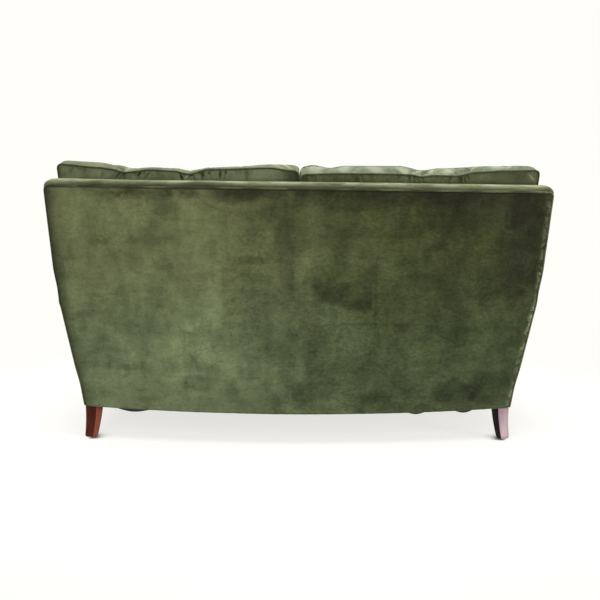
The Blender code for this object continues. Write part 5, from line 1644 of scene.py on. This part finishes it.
TOP_FOLDS = {
    "left": (
        (0.5600, 0.060, 0.0060, 0.025, 0.30, 0.60), (0.5880, 0.060, 0.0140, 0.050, 0.10, -0.32),
        (0.6200, 0.060, 0.0080, 0.050, 0.40, 0.35), (0.6700, 0.060, 0.0080, 0.060, 0.40, 0.40),
        (0.7200, 0.060, 0.0060, 0.060, 0.20, 0.25), (0.4700, 0.060, 0.0060, 0.060, -0.20, 0.40),
        (0.4300, 0.050, 0.0080, 0.050, 0.30, 0.45), (0.3000, 0.060, 0.0070, 0.060, 0.20, 0.30),
        (0.1200, 0.060, 0.0060, 0.060, 0.60, 0.45), (0.0900, 0.060, 0.0080, 0.060, 0.60, -0.35),
        (0.0700, 0.070, 0.0050, 0.060, 0.60, 0.45), (0.0500, 0.060, 0.0080, 0.060, 0.50, -0.35),
        (0.0330, 0.060, 0.0050, 0.060, 0.40, 0.40),
    ),
    "right": (
        (-0.0550, 0.070, 0.0350, 0.070, 0.00, -0.25), (-0.0990, 0.070, 0.0120, 0.070, -0.30, 0.48),
        (-0.1500, 0.060, 0.0300, 0.060, -0.20, -0.25), (-0.1850, 0.060, 0.0080, 0.060, -0.40, 0.30),
        (-0.2500, 0.060, 0.0400, 0.060, 0.20, -0.28), (-0.3050, 0.060, 0.0070, 0.050, -0.30, 0.28),
        (-0.3500, 0.060, 0.0300, 0.060, 0.10, -0.32), (-0.3850, 0.055, 0.0070, 0.050, -0.60, 0.55),
        (-0.4020, 0.055, 0.0060, 0.050, -0.60, -0.35), (-0.4250, 0.060, 0.0160, 0.055, -0.30, 0.85),
        (-0.4500, 0.060, 0.0100, 0.060, -0.30, -0.35), (-0.4720, 0.050, 0.0050, 0.050, -0.60, 0.40),
        (-0.5100, 0.060, 0.0250, 0.060, -0.30, -0.30), (-0.5400, 0.060, 0.0060, 0.060, -0.50, 0.35),
        (-0.5760, 0.070, 0.0120, 0.070, 0.05, 0.85), (-0.6000, 0.060, 0.0100, 0.060, -0.50, -0.25),
        (-0.6300, 0.050, 0.0080, 0.050, -0.50, 0.35), (-0.6850, 0.060, 0.0400, 0.060, -0.30, -0.35),
        (-0.7300, 0.060, 0.0120, 0.060, -0.50, -0.35), (-0.7710, 0.060, 0.0080, 0.060, -0.40, 0.55),
        (-0.7950, 0.060, 0.0090, 0.060, -0.30, 0.30),
    ),
}
# The painted glint and painted shade of the back cushions
PAINTED_FOLD_GLINT = (0.520, 0.550, 0.420, 1.0)
PAINTED_CUSHION_SHADE = (0.012, 0.015, 0.006, 1.0)
# What the nap's colour is multiplied by on the rear, and over the top, as painted light and
# shade: the left's rear is lighter, the right's darker, and the right's top has a painted sheen
CUSHION_REAR = {"left": (1.40, 1.32, 1.54, 1.0), "right": (0.80, 0.74, 0.72, 1.0)}
CUSHION_OVER = {"left": (1.00, 0.92, 0.98, 1.0), "right": (1.18, 1.15, 1.46, 1.0)}
# How dark the painted shade at the inner end of the rear is, and how far that reaches
INNER_END_SHADE = {"left": (0.85, 0.100), "right": (0.40, 0.050)}

fold_mark, given, result = effect(
    "fold_mark", {"Mark": "Float"},
    Vector="Vector", Middle="Vector", Lean="Vector", Reach="Vector", Depth="Float",
)
shifted = vectors("SUBTRACT", given["Vector"], given["Middle"])
_, ahead, up = split(shifted)
upright = {0: vectors("DOT_PRODUCT", shifted, given["Lean"]), 1: ahead, 2: up}
upright = node(fold_mark, "CombineXYZ", upright).outputs[0]
away = vectors("LENGTH", vectors("DIVIDE", upright, given["Reach"]))
join(times(stepped(away, 1.0, 0.25), given["Depth"]), result["Mark"])


def fold_list(word):
    """Each fold's middle, its lean along y and z, its reach and its depth."""
    folds = []
    for x, z, wide, tall, lean, deep in REAR_FOLDS[word]:
        middle = (x, inner_y(x, z) - BACK_CLEARANCE, z)
        folds.append((middle, (1.0, 0.0, -lean), (1.5 * wide, 0.024, 1.6 * tall), deep))
    for x, ahead, wide, long, lean, deep in TOP_FOLDS[word]:
        middle = (x, inner_y(x, BACK_TOP) - ahead, BACK_TOP)
        folds.append((middle, (1.0, lean, 0.0), (wide, long, 0.080), deep))
    return folds


def shade_cushion(word):
    """Painted light and shade on a back cushion: tints for its rear and top, shadow low on the rear and at
    its ends, and shade and glints in its folds.
    """

    def shade(place, colour):
        parts = split(place)
        bowed = maths("DIVIDE", times(parts[0], parts[0]), 2 * BOW_RADIUS)
        ahead = minus(plus(parts[1], bowed), times(parts[2], math.tan(INNER_RAKE)))
        seam = INNER_FOOT_Y - PLATFORM_LEVEL * math.tan(INNER_RAKE) - BACK_CLEARANCE
        rear = stepped(ahead, seam - 0.012, seam - 0.004)
        over = stepped(ahead, seam - BACK_THICKNESS, seam - BACK_THICKNESS + 0.02)
        # Painted light and shade: the rear and the top take their own tints
        tint = mixed(rear, mixed(over, WHITE, CUSHION_OVER[word]), CUSHION_REAR[word])
        # A painted shadow along the rear, low down where it meets the roll
        painted_roll_shadow = times(rear, stepped(parts[2], 0.912, 0.890, 0.0, 0.55))
        colour = mixed(painted_roll_shadow, tinted(colour, tint), PAINTED_CUSHION_SHADE)
        # Painted shade at both ends of the rear
        out = maths("ABSOLUTE", parts[0])
        deep, reach = INNER_END_SHADE[word]
        inner, outer = stepped(out, reach, 0.008, 0.0, deep), stepped(out, 0.812, 0.834, 0.0, 0.85)
        colour = mixed(times(maths("MAXIMUM", inner, outer), rear), colour, PAINTED_CUSHION_SHADE)
        # Painted shade along each fold, and a painted glint along each light one
        for middle, lean, reach, deep in fold_list(word):
            mark = use(fold_mark, Vector=place, Middle=middle, Lean=lean, Reach=reach, Depth=abs(deep))
            colour = mixed(mark["Mark"], colour, PAINTED_CUSHION_SHADE if deep > 0 else PAINTED_FOLD_GLINT)
        return colour

    return shade


def press_folds(piece, word, height):
    """Sinks the cloth along each dark fold, and lifts it along each light one."""
    mesh = piece.data
    folds = [(Vector(middle), Vector(lean), reach, deep) for middle, lean, reach, deep in fold_list(word)]
    normals = [v.normal.copy() for v in mesh.vertices]
    for vertex, normal in zip(mesh.vertices, normals):
        if vertex.co.z < BACK_TOP - FINE_TOP:
            continue
        for middle, lean, reach, deep in folds:
            off = vertex.co - middle
            if abs(off.x) > 0.06 or reach[0] > 0.018:
                continue
            away = math.hypot(off.dot(lean) / (reach[0] * 1.3), off.y / reach[1], off.z / reach[2])
            if away < 1.0:
                vertex.co -= normal * (height * deep * smooth(1 - away))
    mesh.update()


def back_cushion_swell(place, outward, share):
    """How far a back cushion's border stands out: most on top, and not at all below."""
    if outward.z > 0.5:
        return 0.009 * math.sin(math.pi * share)
    if outward.z < -0.3:
        return 0.0
    full = CUSHION_PARTING / 2 + CUSHION_PIPING - 0.0006 if abs(place.x) < 0.1 else 0.0027
    return full * math.sin(math.pi * share)


def back_hold(point, normal):
    """The cushion's front and top may fill out, and its other sides may not."""
    if normal.y > 0.5 or normal.z < -0.4:
        return 0.0005
    if normal.z > 0.5 or normal.y < -0.5:
        return 0.008
    return 0.0002


def back_cushion(word, side):
    body_steps, ear_steps = 120, 24
    keys = spread(0.0, 1.0, body_steps) + [1 + k for k in spread(0.0, 1.0, ear_steps)[1:]]
    low_steps = round((EAR_FOOT - CUSHION_FOOT) / CLOTH_CELL)
    fine_foot = BACK_TOP - FINE_TOP
    heights = spread(CUSHION_FOOT, EAR_FOOT, low_steps)
    heights += spread(EAR_FOOT, fine_foot, 24)[1:] + spread(fine_foot, BACK_TOP, 14)[1:]
    front = [[back_place(k, h, True, word, side) for h in heights] for k in keys]
    rear = [[back_place(k, h, False, word, side) for h in heights] for k in keys]
    finish = velvet("back_cushion_velvet_" + word, 0.12, 21.0 + side, shade=shade_cushion(word))
    made, seams = boxed(
        "back_cushion_cover_" + word, front, rear, 14, back_cushion_swell, finish,
        lambda i, j: i < body_steps or j >= low_steps,
    )
    lines = [[made.data.vertices[k].co.copy() for k in seam] for seam in seams]
    settle_cloth(made, seams, 0.05, 3.0, 0.016, back_hold)
    refine(made)
    pinches = []
    for x, at_front, strength in PINCHES[word]:
        y = inner_y(x, BACK_TOP) - (BACK_THICKNESS if at_front else 0.005)
        pinches.append((side * x, y, BACK_TOP, strength))
    pucker(made, lines, pinches, 0.0070, 41.0 + side)
    press_folds(made, word, 0.0030)
    body = "back_cushion_" + word
    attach(made, body)
    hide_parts(body)
    for label, line, shift in (("front", lines[0], -0.0005), ("rear", lines[1], 0.0002)):
        moved = [point + Vector((0, shift, 0)) for point in line]
        piping(f"back_piping_{label}_{word}", moved, CUSHION_PIPING, welt_velvet, True, body)


for word, side in BOTH.items():
    back_cushion(word, side)

# Floor, light and camera
# A white studio floor that keeps the sofa's shadow, an overhead softbox, softer ones at
# the sides, and a camera behind the sofa at the height of its back.

FLOOR_SIZE = 60.0
BACKGROUND = (1.0, 0.990, 0.952, 1.0)
PAPER = (0.44, 0.435, 0.42, 1.0)
PAPER_SHADED = (0.33, 0.322, 0.300, 1.0)
CONTACT_REACH = 0.085


def seen_directly(tree):
    """1 for rays that the camera sends, straight or by a reflection, and 0 for those of the light."""
    rays = node(tree, "LightPath").outputs
    seen = plus(plus(rays["Is Camera Ray"], rays["Is Glossy Ray"]), rays["Is Transmission Ray"])
    return maths("MINIMUM", seen, 1.0)


bpy.ops.mesh.primitive_plane_add(size=FLOOR_SIZE, location=(0.0, 0.0, 0.0))
floor = bpy.context.object
floor.name = "studio_floor"
paper = bpy.data.materials.new("studio_paper")
paper.use_nodes = True
tree = paper.node_tree
tree.nodes.remove(tree.nodes["Principled BSDF"])
place = node(tree, "TexCoord").outputs["Object"]
across, along_y, _ = split(place)
# Close to the sofa, where the legs meet the floor, its glow is dimmed as a painted contact shadow,
# only inside the legs' outer sides and forward of the rear legs' backs; elsewhere it is as light as the
# background
shade = stepped(node(tree, "AmbientOcclusion", {"Distance": CONTACT_REACH}).outputs["AO"], 0.98, 0.50)
under = times(stepped(maths("ABSOLUTE", across), 0.745, 0.722), stepped(along_y, 0.338, 0.322))
shade = stepped(times(shade, under), 0.0, 1.0, 0.74, 0.0)
glow = node(tree, "Emission", {"Color": BACKGROUND, "Strength": shade})
soft = node(tree, "BsdfDiffuse", {"Color": PAPER_SHADED})
lit = node(tree, "AddShader", {0: soft.outputs[0], 1: glow.outputs[0]})
plain = node(tree, "Emission", {"Color": BACKGROUND, "Strength": 1.0})
far = stepped(vectors("LENGTH", place), 1.0, 1.8)
lit = node(tree, "MixShader", {0: far, 1: lit.outputs[0], 2: plain.outputs[0]})
matt = node(tree, "BsdfDiffuse", {"Color": PAPER})
either = node(tree, "MixShader", {0: seen_directly(tree), 1: matt.outputs[0], 2: lit.outputs[0]})
join(either.outputs[0], tree.nodes["Material Output"].inputs["Surface"])
floor.data.materials.append(paper)
floor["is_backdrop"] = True

world = bpy.data.worlds.new("studio")
bpy.context.scene.world = world
world.use_nodes = True
tree = world.node_tree
fill = node(tree, "Background", {"Color": WHITE, "Strength": 0.42})
white = node(tree, "Background", {"Color": BACKGROUND, "Strength": 1.0})
either = node(tree, "MixShader", {0: seen_directly(tree), 1: fill.outputs[0], 2: white.outputs[0]})
join(either.outputs[0], tree.nodes["World Output"].inputs["Surface"])


def softbox(name, place, target, size, power):
    """A rectangular light of that size at place, turned to target."""
    data = bpy.data.lights.new(name, "AREA")
    data.shape = "RECTANGLE"
    data.size, data.size_y = size
    data.energy = power
    made = placed(name, data)
    made.location = place
    made.rotation_mode = "QUATERNION"
    made.rotation_quaternion = (Vector(target) - Vector(place)).to_track_quat("-Z", "Y")


softbox("overhead", (0.0, 0.6, 3.0), (0.0, 0.1, 0.5), (3.2, 2.4), 84.0)
softbox("behind", (0.6, 5.2, 2.6), (0.0, 0.2, 0.5), (3.0, 2.0), 90.0)
softbox("rear_right", (-4.1, 3.0, 0.9), (-0.3, 0.2, 0.3), (1.6, 1.8), 105.0)
softbox("front", (0.6, -3.4, 2.2), (0.0, 0.0, 0.45), (2.4, 1.8), 62.0)

LENS_PX = 874.2
PICTURE_PX = 600
CAMERA_PLACE = (0.0378, 3.3216, 0.8625)
CAMERA_RIGHT = (-0.99988, 0.01292, 0.00815)
CAMERA_FORWARD = (-0.01381, -0.99245, -0.12185)
camera_data = bpy.data.cameras.new("camera")
camera_data.sensor_width = 36.0
camera_data.lens = LENS_PX / PICTURE_PX * camera_data.sensor_width
camera = placed("camera", camera_data)
right, forward = Vector(CAMERA_RIGHT).normalized(), Vector(CAMERA_FORWARD).normalized()
up = right.cross(forward).normalized()
turn = Matrix((right, up, -forward)).transposed()
camera.matrix_world = Matrix.Translation(CAMERA_PLACE) @ turn.to_4x4()
bpy.context.scene.camera = camera
bpy.context.scene.view_settings.view_transform = "Standard"

low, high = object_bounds()
